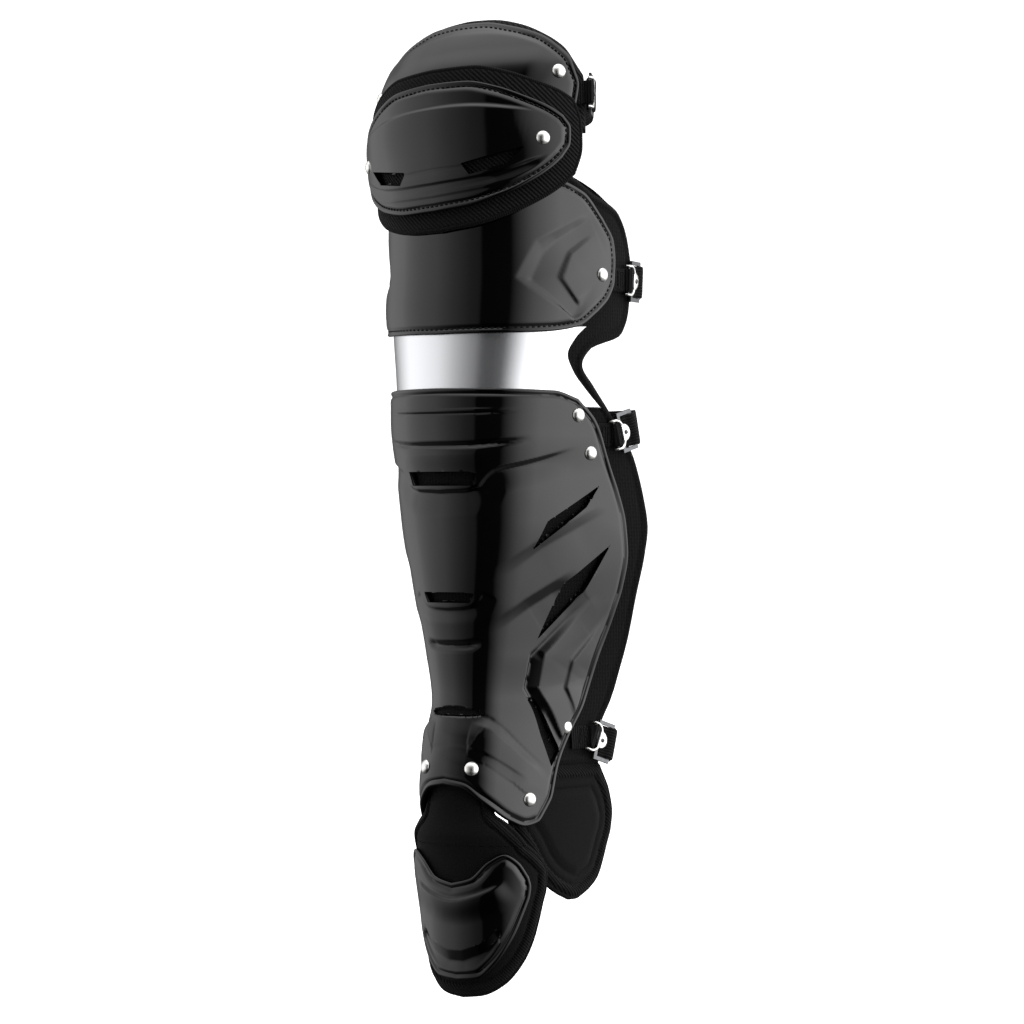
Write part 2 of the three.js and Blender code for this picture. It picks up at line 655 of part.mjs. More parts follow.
// Slide: flat rectangular frame. Hook: half-round plate over the slide, two claws over the bar.
function slideGeometry(grow = 0) {
  const box = (x0, x1, y0, y1) => {
    const shape = new THREE.Path();
    shape.moveTo(x0, y0);
    shape.lineTo(x1, y0);
    shape.lineTo(x1, y1);
    shape.lineTo(x0, y1);
    shape.closePath();
    return shape;
  };
  const half = slideHeight / 2 + grow;
  const rail = slideRail + 2 * grow;
  const near = slideStart - grow;
  const far = slideEnd + grow;
  const outline = new THREE.Shape(box(near, far, -half, half).getPoints());
  outline.holes.push(box(near + rail, far - rail, -half + rail, half - rail));
  const geometry = new THREE.ExtrudeGeometry(outline, { depth: slideThick + 2 * grow, bevelEnabled: false });
  geometry.translate(0, 0, -slideThick / 2 - grow);
  return geometry;
}
function hookSolid(place) {
  const foot = 4.2;
  const radius = hookPlate / 2;
  const bottom = slideThick / 2 + gap;
  const plate = new THREE.Shape();
  plate.moveTo(foot, radius);
  plate.lineTo(foot, -radius);
  plate.absarc(foot + 1.4, 0, radius, -Math.PI / 2, Math.PI / 2, false);
  const flat = new THREE.ExtrudeGeometry(plate, { depth: hookThick, bevelEnabled: false, curveSegments: 5 });
  flat.translate(0, 0, bottom);
  let solid = toSolid(flat, place);
  const over = barRadius + clawRadius + gap;
  for (const side of [1, -1]) {
    const curve = new THREE.CatmullRomCurve3([
      new THREE.Vector3(foot + 1.2, side * (radius - 1.4), bottom + hookThick / 2),
      new THREE.Vector3(foot - 0.3, side * (radius + 1.8), over - 0.1),
      new THREE.Vector3(0.9, side * (barReach / 2 - 0.8), over + 0.1),
      new THREE.Vector3(-1.7, side * (barReach / 2 - 0.9), over - 0.9),
      new THREE.Vector3(-barRadius - clawRadius - gap - 0.1, side * (barReach / 2 - 0.9), -0.4),
    ]);
    const section = new THREE.Shape();
    section.absarc(0, 0, clawRadius, 0, 2 * Math.PI, false);
    const claw = new THREE.ExtrudeGeometry(section, { steps: 4, curveSegments: 2, extrudePath: curve });
    solid = solid.add(toSolid(claw, place));
  }
  return solid;
}

// Assembly
const shell = (form, outline, rise, across, down) =>
  toSolid(
    sheetGeometry({
      form,
      across,
      down,
      region: panel(outline),
      outer: (u, v, z) => rise(u, v, z) + shellThick,
      inner: rise,
    }),
  );
const seated = () => seatGap;
const shinRise = (u, v, z) => seatGap + overBandFoot(z);
const lowerKneeRise = (u, v, z) => seatGap + overBandHead(z);
const pad = (form, outline, thick, edge, across, down) =>
  toSolid(
    sheetGeometry({
      form,
      across,
      down,
      region: panel(outline),
      outer: flush,
      inner: padInner(thick, edge),
    }),
  );

let thighPad = pad(thighForm, thighPadOutline, padThick, padEdge, 12, 8);
let legPad = pad(legForm, legPadOutline, padThick, padEdge, 12, 22);
for (const row of buckleRows) {
  const slots = tabSlot(row).add(strapSlot(row));
  if (row.form === thighForm) thighPad = thighPad.subtract(slots);
  else legPad = legPad.subtract(slots);
}
add("thigh_pad", toGeometry(thighPad), meshCloth);
add("leg_pad", toGeometry(legPad), meshCloth);

const thighShell = drilled(shell(thighForm, thighShellOutline, seated, 16, 9), ["rivet_thigh"]);
add("thigh_shell", toGeometry(thighShell), glossPlastic);

const kneePad = toSolid(
  sheetGeometry({
    form: cupForm,
    across: 12,
    down: 6,
    region: panel(kneePadOutline),
    outer: flush,
    inner: (u, v) => kneePadEase * (1 - v) - kneePadThick,
  }),
);
add("knee_pad", toGeometry(kneePad), meshCloth);
let kneeCup = shell(cupForm, cupOutline, seated, 12, 6);
for (const [, sign] of sides) kneeCup = kneeCup.subtract(ventCut(cupForm, cupVent, sign));
add("knee_cup", toGeometry(drilled(kneeCup, ["rivet_cup"])), glossPlastic);

const lowerKnee = shell(legForm, lowerKneeOutline, lowerKneeRise, 14, 7);
add("lower_knee_shell", toGeometry(drilled(lowerKnee, ["rivet_lower_knee"])), glossPlastic);
add(
  "shin_band",
  sheetGeometry({
    form: legForm,
    across: 14,
    down: 5,
    region: panel(bandOutline),
    outer: () => seatGap + bandThick,
    inner: seated,
  }),
  silverPlastic,
);
let shin = shell(legForm, shinOutline, shinRise, 20, 17);
for (const corner of shinVents) {
  for (const [, sign] of sides) shin = shin.subtract(ventCut(legForm, corner, sign));
}
for (const corner of frontVents) shin = shin.subtract(ventCut(legForm, corner, 1));
const shinRivets = rivetRows
  .map((row) => row.name)
  .filter((name) => name.includes("shin") || name.includes("ankle"));
add("shin_shell", toGeometry(drilled(shin, shinRivets)), glossPlastic);

for (const [side, sign] of sides) {
  let wing = toSolid(
    sheetGeometry({
      form: legForm,
      across: 4,
      down: 6,
      region: wingRegion(sign),
      outer: flush,
      inner: padInner(padThick - 2, padEdge),
    }),
  );
  for (const row of buckleRows) wing = wing.subtract(sign > 0 ? tabSlot(row) : strapSlot(row));
  add(`wing_pad_${side}`, toGeometry(wing), meshCloth);
}
const flapSink = (u, v) => -flapSunk * (1 - ramp((v - 0.6) / 0.3));
add(
  "instep_flap",
  sheetGeometry({
    form: toeForm,
    across: 8,
    down: 5,
    region: panel(flapOutline),
    outer: flapSink,
    inner: (u, v) => flapSink(u, v) - flapThick,
  }),
  neoprene,
);
add("toe_pad", toGeometry(pad(toeForm, toePadOutline, padThick, padEdge, 10, 6)), meshCloth);
add("toe_shell", toGeometry(shell(toeForm, toeShellOutline, seated, 12, 6)), glossPlastic);

for (const row of rivetRows) {
  for (const [side, sign] of sides) {
    const geometry = rivetGeometry().applyMatrix4(rivetPlace(row, sign));
    add(`${row.name}_${side}`, geometry, nickel);
  }
}
for (const row of buckleRows) {
  const place = buckleFrame(row);
  add(`tab_${row.name}`, toGeometry(tabSolid(row)), webbing);
  const bar = new THREE.CylinderGeometry(barRadius, barRadius, barReach, 8);
  add(`bar_${row.name}`, bar.applyMatrix4(place), satinMetal);
  add(`hook_${row.name}`, toGeometry(hookSolid(place)), nickel);
  add(`slide_${row.name}`, slideGeometry().applyMatrix4(slideFrame(row)), satinMetal);
  add(`strap_${row.name}`, toGeometry(strapSolid(row)), elastic);
}

export default guard;
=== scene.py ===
import math

import bpy
import numpy as np
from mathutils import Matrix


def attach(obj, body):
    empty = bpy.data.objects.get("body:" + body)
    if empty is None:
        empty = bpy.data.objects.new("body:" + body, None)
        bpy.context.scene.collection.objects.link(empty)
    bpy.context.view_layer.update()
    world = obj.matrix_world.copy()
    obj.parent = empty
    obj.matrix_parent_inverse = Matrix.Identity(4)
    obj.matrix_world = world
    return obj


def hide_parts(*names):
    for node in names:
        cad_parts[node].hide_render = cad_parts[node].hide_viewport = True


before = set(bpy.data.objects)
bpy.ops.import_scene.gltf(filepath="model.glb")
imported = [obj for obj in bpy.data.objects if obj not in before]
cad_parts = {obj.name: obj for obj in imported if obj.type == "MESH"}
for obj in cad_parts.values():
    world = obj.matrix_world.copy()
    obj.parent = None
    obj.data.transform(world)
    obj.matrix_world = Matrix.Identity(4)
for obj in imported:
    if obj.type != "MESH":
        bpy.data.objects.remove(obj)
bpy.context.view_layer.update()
print("frame loaded")

# driving sizes of the leg guard in millimetres, the same as the CAD's
kneeToAnkle, thighRise, cupHeight, toeLength = 419, 77, 80, 127
wingWrap, thighWrap, cupWrap, toeWrap = 150, 100, 90, 65
shellThick, bandThick, padThick, padEdge = 3, 2.4, 9, 5
cupBorder, seatGap, gap = 9, 0.8, 0.3
mm = 0.001


# tables of sections and outlines
def along(rows, column, x):  # smooth curve through a table's column, without overshoot
    rows = np.asarray(rows, float)
    xs, ys = rows[:, 0], rows[:, column]
    step = np.diff(xs)
    slope = np.diff(ys) / step
    bend = np.concatenate([[slope[0]], np.zeros(len(xs) - 2), [slope[-1]]])
    for k in range(1, len(xs) - 1):
        before, after = slope[k - 1], slope[k]
        if before * after > 0:
            w1, w2 = 2 * step[k] + step[k - 1], step[k] + 2 * step[k - 1]
            bend[k] = (w1 + w2) / (w1 / before + w2 / after)
    x = np.clip(x, xs[0], xs[-1])
    k = np.clip(np.searchsorted(xs, x, side="right") - 1, 0, len(xs) - 2)
    t, h = (x - xs[k]) / step[k], step[k]
    return ((2 * t**3 - 3 * t**2 + 1) * ys[k] + (t**3 - 2 * t**2 + t) * h * bend[k]
            + (3 * t**2 - 2 * t**3) * ys[k + 1] + (t**3 - t**2) * h * bend[k + 1])


def ramp(t):
    t = np.clip(t, 0, 1)
    return t * t * (3 - 2 * t)


def makeForm(rows, height, front, wrap, base=0, lean=0, pivot=0):
    table = sorted((base + a * height, b * front, c * front, d, e * wrap) for a, b, c, d, e in rows)
    return {"table": table, "lean": math.radians(lean), "pivot": pivot}


# level, front, nose radius, turn in degrees, side radius
legForm = makeForm([
    (-0.034, 1, 1.065, 66, 1), (0.197, 1, 1.097, 66, 1), (0.297, 0.984, 1.032, 65, 1.13),
    (0.397, 0.992, 0.935, 62, 1.87), (0.474, 1, 0.919, 62, 2.13), (0.582, 0.935, 0.871, 60, 2.13),
    (0.705, 0.839, 0.661, 58, 2), (0.782, 0.758, 0.516, 58, 1.87), (0.859, 0.71, 0.435, 58, 1.73),
    (0.913, 0.806, 0.468, 60, 1.6), (0.99, 0.903, 0.484, 60, 1.47), (1.17, 0.903, 0.484, 60, 1.2),
], -kneeToAnkle, 62, wingWrap)
cupForm = makeForm([
    (0.75, 0.874, 1.175, 60, 1.33), (0.375, 0.958, 1.21, 60, 1.33), (0, 1, 1.217, 60, 1.33),
    (-0.375, 1, 1.217, 60, 1.33), (-0.75, 0.996, 1.18, 60, 1.33),
], cupHeight, 71.5, cupWrap, lean=-5, pivot=-8)
thighForm = makeForm([
    (-0.13, 0.965, 1.3, 60, 1.4), (0.182, 0.965, 1.32, 60, 1.4), (0.468, 0.918, 1.36, 60, 1.4),
    (0.65, 0.77, 1.295, 60, 1.4), (0.857, 0.557, 1.18, 60, 1.4), (1.065, 0.262, 1.1, 60, 1.4),
], thighRise, 61, thighWrap, lean=-4)
toeForm = makeForm([
    (-0.29, 0.943, 0.547, 70, 1.85), (-0.002, 1.05, 0.575, 72, 1.85), (0.127, 1.019, 0.868, 75, 1.85),
    (0.2, 1, 0.943, 75, 1.85), (0.299, 0.943, 0.925, 75, 1.85), (0.549, 0.858, 0.849, 75, 1.85),
    (0.806, 0.802, 0.811, 75, 1.85), (1.06, 0.717, 0.792, 75, 1.85),
], -toeLength, 53, toeWrap, base=-kneeToAnkle)


def facePoint(form, s, z):
    front, nose = along(form["table"], 1, z), along(form["table"], 2, z)
    turn, side = np.radians(along(form["table"], 3, z)), along(form["table"], 4, z)
    a = np.abs(s)
    flat = nose * turn
    angle = np.where(a < flat, a / nose, turn + (a - flat) / side)
    inNose = np.minimum(angle, turn)
    x, y = nose * np.sin(inNose), -front + nose * (1 - np.cos(inNose))
    past = a > flat
    x = x + np.where(past, side * (np.sin(angle) - np.sin(turn)), 0)
    y = y + np.where(past, side * (np.cos(turn) - np.cos(angle)), 0)
    sign = np.where(s < 0, -1.0, 1.0)
    return np.stack([x * sign, y, z + 0 * x], -1), angle, sign


def unit(v):
    return v / np.linalg.norm(v, axis=-1, keepdims=True)


def leaned(form, v):
    c, k = math.cos(form["lean"]), math.sin(form["lean"])
    return np.stack([v[..., 0] * c + v[..., 2] * k, v[..., 1], v[..., 2] * c - v[..., 0] * k], -1)


def formAxes(form, s, z):
    s, z = np.broadcast_arrays(np.asarray(s, float), np.asarray(z, float))
    place, angle, sign = facePoint(form, s, z)
    out = np.stack([np.sin(angle) * sign, -np.cos(angle), 0 * angle], -1)
    up = unit(facePoint(form, s, z + 1)[0] - facePoint(form, s, z - 1)[0])
    around = unit(np.cross(up, out))
    normal = np.cross(around, up)
    pivot = np.array([0, 0, form["pivot"]])
    return (leaned(form, place - pivot) + pivot, leaned(form, around), leaned(form, up),
            leaned(form, normal))


def onForm(form, s, z, rise):
    place, _, _, normal = formAxes(form, s, z)
    return place + normal * np.asarray(rise, float)[..., None]


def outline(size, wrap, top, bottom, edge, start=0):
    edges = {"top": top, "bottom": bottom}
    made = {key: [(u, start + z * size) for u, z in rows] for key, rows in edges.items()}
    made["edge"] = [(v, s * wrap) for v, s in edge]
    return made


# each outline: height of the top and bottom edge from the middle (0) to the side (1), as shares of a size,
# and the side's distance round the form from the top (0) to the bottom (1), as shares of the wrap
outlines = {
    "thighPad": outline(
        thighRise, thighWrap,
        top=[(0, 1), (0.2, 0.98), (0.4, 0.92), (0.6, 0.82), (0.8, 0.68), (0.92, 0.54), (1, 0.42)],
        bottom=[(0, -0.06), (1, -0.06)],
        edge=[(0, 0.95), (0.3, 0.97), (1, 0.96)]),
    "thighShell": outline(
        thighRise, thighWrap,
        top=[(0, 0.91), (0.2, 0.9), (0.4, 0.85), (0.65, 0.76), (0.86, 0.62), (0.95, 0.54), (1, 0.45)],
        bottom=[(0, 0.04), (1, 0.04)],
        edge=[(0, 0.86), (0.3, 0.895), (0.6, 0.88), (1, 0.82)]),
    "cup": outline(
        cupHeight, cupWrap,
        top=[(0, 0.37), (0.3, 0.355), (0.52, 0.29), (0.72, 0.2), (0.9, 0.11), (1, 0.04)],
        bottom=[(0, -0.635), (0.25, -0.625), (0.55, -0.56), (0.78, -0.46), (0.92, -0.37), (1, -0.3)],
        edge=[(0, 0.95), (0.3, 1), (0.65, 0.99), (1, 0.92)]),
    "lowerKnee": outline(
        kneeToAnkle, wingWrap,
        top=[(0, -0.062), (0.6, -0.066), (0.85, -0.086), (1, -0.124)],
        bottom=[(0, -0.304), (0.55, -0.3), (0.85, -0.289), (1, -0.265)],
        edge=[(0, 0.75), (0.25, 0.82), (0.45, 0.83), (0.65, 0.82), (0.85, 0.77), (1, 0.7)]),
    "band": outline(
        kneeToAnkle, wingWrap,
        top=[(0, -0.29), (1, -0.288)],
        bottom=[(0, -0.412), (1, -0.412)],
        edge=[(0, 0.66), (0.15, 0.6), (0.35, 0.56), (0.55, 0.59), (0.75, 0.65), (1, 0.74)]),
    "shin": outline(
        kneeToAnkle, wingWrap,
        top=[(0, -0.384), (0.8, -0.386), (1, -0.398)],
        bottom=[(0, -0.98), (0.16, -0.985), (0.33, -1.005), (0.6, -1.036), (0.76, -1.045), (0.9, -1.04),
                (1, -1.02)],
        edge=[(0, 0.6), (0.05, 0.69), (0.13, 0.76), (0.225, 0.825), (0.305, 0.855), (0.37, 0.86),
             (0.46, 0.825), (0.52, 0.78), (0.65, 0.67), (0.8, 0.57), (0.88, 0.52), (0.97, 0.49),
             (1, 0.46)]),
    "legPad": outline(
        kneeToAnkle, wingWrap,
        top=[(0, -0.043), (0.7, -0.05), (1, -0.085)],
        bottom=[(0, -0.945), (0.25, -0.948), (0.75, -0.957), (1, -0.957)],
        edge=[(0, 0.72), (0.03, 0.89), (0.08, 0.965), (0.13, 0.99), (0.2, 0.97), (0.245, 0.91),
             (0.272, 0.71), (0.3, 0.66), (0.335, 0.72), (0.38, 0.81), (0.47, 0.965), (0.53, 1),
             (0.58, 1.013), (0.63, 0.99), (0.7, 0.94), (0.78, 0.89), (0.86, 0.82), (0.93, 0.76),
             (1, 0.785)]),
    "flap": outline(
        -toeLength, toeWrap, start=-kneeToAnkle,
        top=[(0, -0.169), (1, -0.169)],
        bottom=[(0, 0.239), (1, 0.239)],
        edge=[(0, 0.46), (0.6, 0.47), (0.72, 0.58), (0.86, 0.69), (1, 0.77)]),
    "toePad": outline(
        -toeLength, toeWrap, start=-kneeToAnkle,
        top=[(0, 0.242), (1, 0.242)],
        bottom=[(0, 1), (0.25, 0.987), (0.5, 0.936), (0.75, 0.828), (0.9, 0.721), (1, 0.613)],
        edge=[(0, 0.77), (0.15, 0.9), (0.35, 1), (0.6, 0.985), (0.8, 0.93), (1, 0.88)]),
    "toeShell": outline(
        -toeLength, toeWrap, start=-kneeToAnkle,
        top=[(0, 0.424), (0.25, 0.398), (0.5, 0.312), (0.72, 0.273), (0.88, 0.312), (1, 0.39)],
        bottom=[(0, 0.914), (0.3, 0.901), (0.55, 0.828), (0.8, 0.699), (1, 0.549)],
        edge=[(0, 0.75), (0.3, 0.765), (0.6, 0.75), (1, 0.7)]),
}
outlines["kneePad"] = {
    "top": [(u, z + cupBorder * (1 + 0.1 * u)) for u, z in outlines["cup"]["top"]],
    "bottom": [(u, z - cupBorder * (1.25 - 0.3 * u)) for u, z in outlines["cup"]["bottom"]],
    "edge": [(v, s + cupBorder) for v, s in outlines["cup"]["edge"]],
}


def panel(name):  # a region turns shares across and down into wrap and height
    rows = outlines[name]

    def region(side, v):
        high, low = (along(rows[key], 1, np.abs(side)) for key in ("top", "bottom"))
        return side * along(rows["edge"], 1, v), high + (low - high) * v
    return region


# share down, near edge and far edge of the ankle wing, as shares of the wrap
wingRows = [(0, 0.28, 0.785), (0.22, 0.28, 0.87), (0.4, 0.3, 0.9), (0.5, 0.33, 0.895), (0.62, 0.38, 0.87),
            (0.74, 0.42, 0.845), (0.86, 0.48, 0.81), (0.94, 0.545, 0.75), (1, 0.62, 0.675)]


def wingPanel(sign):
    def region(side, v):
        near, far = along(wingRows, 1, v) * wingWrap, along(wingRows, 2, v) * wingWrap
        share = (side + 1) / 2 if sign > 0 else (1 - side) / 2
        return sign * (near + (far - near) * share), kneeToAnkle * (-0.959 - 0.201 * v)
    return region


# distances on the unrolled form
def pathField(s, z, path):  # distance, side and run along a path, and the path's length
    path = np.asarray(path, float)
    lengths = np.linalg.norm(np.diff(path, axis=0), axis=1)
    total, start = lengths.sum(), 0.0
    best = np.full(s.shape, 1e9)
    side, run = np.zeros(s.shape), np.zeros(s.shape)
    for (a, b), length in zip(zip(path[:-1], path[1:]), lengths):
        d = (b - a) / length
        t = np.clip((s - a[0]) * d[0] + (z - a[1]) * d[1], 0, length)
        far = np.hypot(s - a[0] - d[0] * t, z - a[1] - d[1] * t)
        near = far < best
        best = np.where(near, far, best)
        side = np.where(near, np.sign(d[0] * (z - a[1]) - d[1] * (s - a[0])), side)
        run = np.where(near, start + t, run)
        start += length
    return best, side, run, total


def smoothPath(path, rounds=2):  # corner cutting, ends kept
    path = np.asarray(path, float)
    for _ in range(rounds):
        a, b = path[:-1] * 0.75 + path[1:] * 0.25, path[:-1] * 0.25 + path[1:] * 0.75
        path = np.concatenate([path[:1], np.stack([a, b], 1).reshape(-1, 2)[1:-1], path[-1:]])
    return path


def insidePolygon(s, z, corners):
    found = np.zeros(s.shape, bool)
    for (x0, y0), (x1, y1) in zip(corners, corners[1:] + corners[:1]):
        crosses = (y0 > z) != (y1 > z)
        found ^= crosses & (s < (x1 - x0) * (z - y0) / ((y1 - y0) or 1e-9) + x0)
    return found


# relief lines: a groove is a channel, a crease is a slope on one side that fades out behind it, and a facet
# is a flat slope between two edges that fades out beyond the second; taper is its length at each end
def groove(path, width, height, taper):
    return {"kind": "groove", "path": path, "width": width, "height": height, "taper": taper, "rounds": 2}


def crease(path, width, height, tail, taper, rounds=2):
    return {"kind": "crease", "path": path, "width": width, "height": height, "tail": tail, "taper": taper,
            "rounds": rounds}


def facet(edge, path, behind, height, tail, taper, dip=0):  # dip is a step down at the first edge
    return {"kind": "facet", "edge": edge, "path": path, "behind": behind, "height": height, "tail": tail,
            "taper": taper, "dip": dip}


dipRun, onEdge = 1.9, 0.01  # how far the step down takes, and what counts as on the edge


def facetOf(line, s, z):
    near, _, run, length = pathField(s, z, line["edge"])
    far, _, _, _ = pathField(s, z, line["path"])
    onPath = far < onEdge
    band = insidePolygon(s, z, line["edge"] + line["path"][::-1]) & ~onPath
    beyond = insidePolygon(s, z, line["path"] + line["behind"]) | onPath
    slope = np.where(band, near / np.maximum(near + far, 1e-6), 0) * (line["height"] + line["dip"])
    slope = slope - np.where(band, line["dip"] * np.clip(near / dipRun, 0, 1), 0)
    taper = ramp(run / line["taper"][0]) * ramp((length - run) / line["taper"][1])
    fade = 1 - ramp(far / line["tail"])
    return (slope + line["height"] * np.where(beyond & ~band, fade, 0)) * taper


def reliefOf(lines, s, z):
    total = np.zeros(s.shape)
    for line in lines:
        if line["kind"] == "facet":
            total += facetOf(line, s, z)
            continue
        far, side, run, length = pathField(s, z, smoothPath(line["path"], line["rounds"]))
        taper = np.ones(s.shape)
        for reach, left in zip(line["taper"], (run, length - run)):
            if reach:
                taper *= ramp(left / reach)
        width = line["width"]
        if line["kind"] == "groove":
            total -= line["height"] * (1 - ramp(far / width)) * taper
        else:
            d = far * side
            fade = 1 - ramp((d - width / 2) / line["tail"])
            total += line["height"] * ramp(d / width + 0.5) * fade * taper
    return total


# meshes
def makeObject(name, parts, materials, smooth=45):  # smooth is the sharpest angle that shades as round
    verts, faces, uvs, slots, start = [], [], [], [], 0
    for part in parts:
        v = np.asarray(part["verts"], float).reshape(-1, 3)
        verts.append(v)
        uvs.append(np.asarray(part.get("uv", np.zeros((len(v), 2))), float).reshape(-1, 2))
        faces += [tuple(i + start for i in f) for f in part["faces"]]
        slots += np.broadcast_to(part.get("material", 0), len(part["faces"])).tolist()
        start += len(v)
    verts, uvs = np.concatenate(verts) * mm, np.concatenate(uvs) * mm
    mesh = bpy.data.meshes.new(name)
    mesh.from_pydata(verts.tolist(), [], faces)
    for m in materials:
        mesh.materials.append(m)
    mesh.polygons.foreach_set("material_index", slots)
    layer = mesh.uv_layers.new(name="weave")
    loops = np.zeros(len(mesh.loops), np.int32)
    mesh.loops.foreach_get("vertex_index", loops)
    layer.data.foreach_set("uv", uvs[loops].astype(np.float32).ravel())
    mesh.polygons.foreach_set("use_smooth", [True] * len(mesh.polygons))
    mesh.set_sharp_from_angle(angle=math.radians(smooth))
    mesh.validate()
    mesh.update()
    obj = bpy.data.objects.new(name, mesh)
    bpy.context.scene.collection.objects.link(obj)
    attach(obj, "root")
    return obj


def gridFaces(rows, columns, keep=None, turned=False):
    a = np.arange(rows * columns).reshape(rows, columns)
    quads = np.stack([a[:-1, :-1], a[1:, :-1], a[1:, 1:], a[:-1, 1:]], -1)
    if turned:
        quads = quads[..., ::-1]
    quads = quads.reshape(-1, 4)
    return (quads[keep.ravel()] if keep is not None else quads).tolist()


def borderRing(rows, columns):  # a grid's outer points in order
    return np.concatenate([np.arange(columns - 1), np.arange(rows - 1) * columns + columns - 1,
                           (rows - 1) * columns + np.arange(columns - 1, 0, -1),
                           np.arange(rows - 1, 0, -1) * columns])


def ringFaces(rings, n, closed=False, turned=False):  # quads between rings of n points each
    faces = [(i * n + k, i * n + (k + 1) % n, (i + 1) % rings * n + (k + 1) % n, (i + 1) % rings * n + k)
             for i in range(rings if closed else rings - 1) for k in range(n)]
    return [f[::-1] for f in faces] if turned else faces


def capFaces(rings, n):
    return [tuple(range(n))[::-1], tuple((rings - 1) * n + k for k in range(n))]


def sweep(path, radius, sides=10, closed=False, material=0):  # round tube along points
    path = np.asarray(path, float)
    ahead = unit(np.roll(path, -1, 0) - np.roll(path, 1, 0) if closed else np.gradient(path, axis=0))
    side = np.cross(ahead[0], [0, 0, 1.0])
    side = side / np.linalg.norm(side) if np.linalg.norm(side) > 1e-3 else np.array([1.0, 0, 0])
    verts, uv, run = [], [], 0.0
    radius = np.broadcast_to(radius, len(path))
    for i, p in enumerate(path):
        side = side - ahead[i] * side.dot(ahead[i])
        side /= np.linalg.norm(side)
        other = np.cross(ahead[i], side)
        run += np.linalg.norm(p - path[i - 1]) if i else 0
        for k in range(sides):
            t = 2 * math.pi * k / sides
            verts.append(p + radius[i] * (math.cos(t) * side + math.sin(t) * other))
            uv.append((run, radius[i] * t))
    faces = ringFaces(len(path), sides, closed) + ([] if closed else capFaces(len(path), sides))
    return {"verts": verts, "faces": faces, "uv": uv, "material": material}


def sideSteps(width, step, fine=(0.25, 0.6, 1.1, 1.8)):  # shares across a width, finer at both ends
    count = max(4, int(round((width - 2 * fine[-1]) / step)))
    middle = np.linspace(fine[-1], width - fine[-1], count + 1)
    ends = [0, *fine[:-1]]
    return np.concatenate([ends, middle, [width - e for e in ends[::-1]]]) / width


def gridOver(region, width, height, step, **fine):
    side, down = 2 * sideSteps(width, step, **fine) - 1, sideSteps(height, step, **fine)
    s, z = region(side[None, :] + 0 * down[:, None], down[:, None] + 0 * side[None, :])
    return np.array(s), np.array(z)


def rimOf(region, samples=260):  # closed line round a region, in wrap and z
    t = np.linspace(0, 1, samples)
    edges = [region(2 * t - 1, 0 * t), region(1 + 0 * t, t), region(1 - 2 * t, 1 + 0 * t),
             region(-1 + 0 * t, 1 - t)]
    return np.concatenate([np.stack(e, -1)[:-1] for e in edges])


def openRim(rim, flush):  # the rim without its top (0) or bottom (2) edge
    if flush is None:
        return rim
    count = len(rim) // 4
    return np.roll(rim, -(flush + 1) * count, 0)[:3 * count + 1]


def rimDistance(s, z, rim, closed=True):
    best = np.full(s.size, 1e9)
    flatS, flatZ = s.ravel(), z.ravel()
    a, b = (rim, np.roll(rim, -1, 0)) if closed else (rim[:-1], rim[1:])
    d = b - a
    length2 = np.maximum((d**2).sum(1), 1e-12)
    for k in range(0, len(a), 4):  # four pieces of the rim at a time
        pa, pd, pl = a[k:k + 4], d[k:k + 4], length2[k:k + 4]
        offS, offZ = flatS[:, None] - pa[:, 0], flatZ[:, None] - pa[:, 1]
        t = np.clip((offS * pd[:, 0] + offZ * pd[:, 1]) / pl, 0, 1)
        best = np.minimum(best, np.hypot(offS - pd[:, 0] * t, offZ - pd[:, 1] * t).min(1))
    return best.reshape(s.shape)


def insetPath(rim, inset):  # the rim's line moved inwards on the unrolled form
    ahead = unit(np.roll(rim, -2, 0) - np.roll(rim, 2, 0))
    inward = np.stack([ahead[:, 1], -ahead[:, 0]], -1)
    if insidePolygon(*(rim[:5] + inward[:5] * 0.5).T, rim.tolist()).sum() < 3:
        inward = -inward
    moved = rim + inward * inset
    keep = rimDistance(moved[:, 0], moved[:, 1], rim) > inset - 0.25
    return moved[keep & insidePolygon(moved[:, 0], moved[:, 1], rim.tolist())]


def evenly(points, pitch, closed=True):  # the same line in equal steps
    points = np.asarray(points, float)
    if closed:
        points = np.concatenate([points, points[:1]])
    run = np.concatenate([[0], np.cumsum(np.linalg.norm(np.diff(points, axis=0), axis=1))])
    count = max(2, int(run[-1] / pitch))
    at = np.linspace(0, run[-1], count, endpoint=not closed)
    return np.stack([np.interp(at, run, points[:, k]) for k in range(points.shape[1])], -1)


def stitches(form, line, rise, pitch=3.4, length=2.3, thread=0.42, material=0):
    dense = evenly(line, pitch)
    ahead = np.roll(dense, -1, 0) - dense
    ahead = ahead / np.maximum(np.linalg.norm(ahead, axis=1, keepdims=True), 1e-6)
    reach = np.array([-0.5, -0.3, 0, 0.3, 0.5]) * length  # each stitch dives in at both ends
    lift = np.array([-0.25, 0.1, 0.22, 0.1, -0.25])
    radii = [0.2, thread, thread, thread, 0.2]
    parts = []
    for p, d in zip(dense, ahead):
        st, zt = p[0] + d[0] * reach, p[1] + d[1] * reach
        r = rise(st, zt) if callable(rise) else rise
        parts.append(sweep(onForm(form, st, zt, r + lift), radii, 6, material=material))
    return parts


# materials
def linear(hexColour):
    values = [int(hexColour[i:i + 2], 16) / 255 for i in (1, 3, 5)]
    return tuple(v / 12.92 if v <= 0.04045 else ((v + 0.055) / 1.055) ** 2.4 for v in values) + (1.0,)


def node(tree, kind, links=None, inputs=None, **settings):
    made = tree.nodes.new("ShaderNode" + kind)
    for key, value in settings.items():
        setattr(made, key, value)
    for key, value in (inputs or {}).items():
        made.inputs[key].default_value = value
    for key, socket in (links or {}).items():
        tree.links.new(socket, made.inputs[key])
    return made


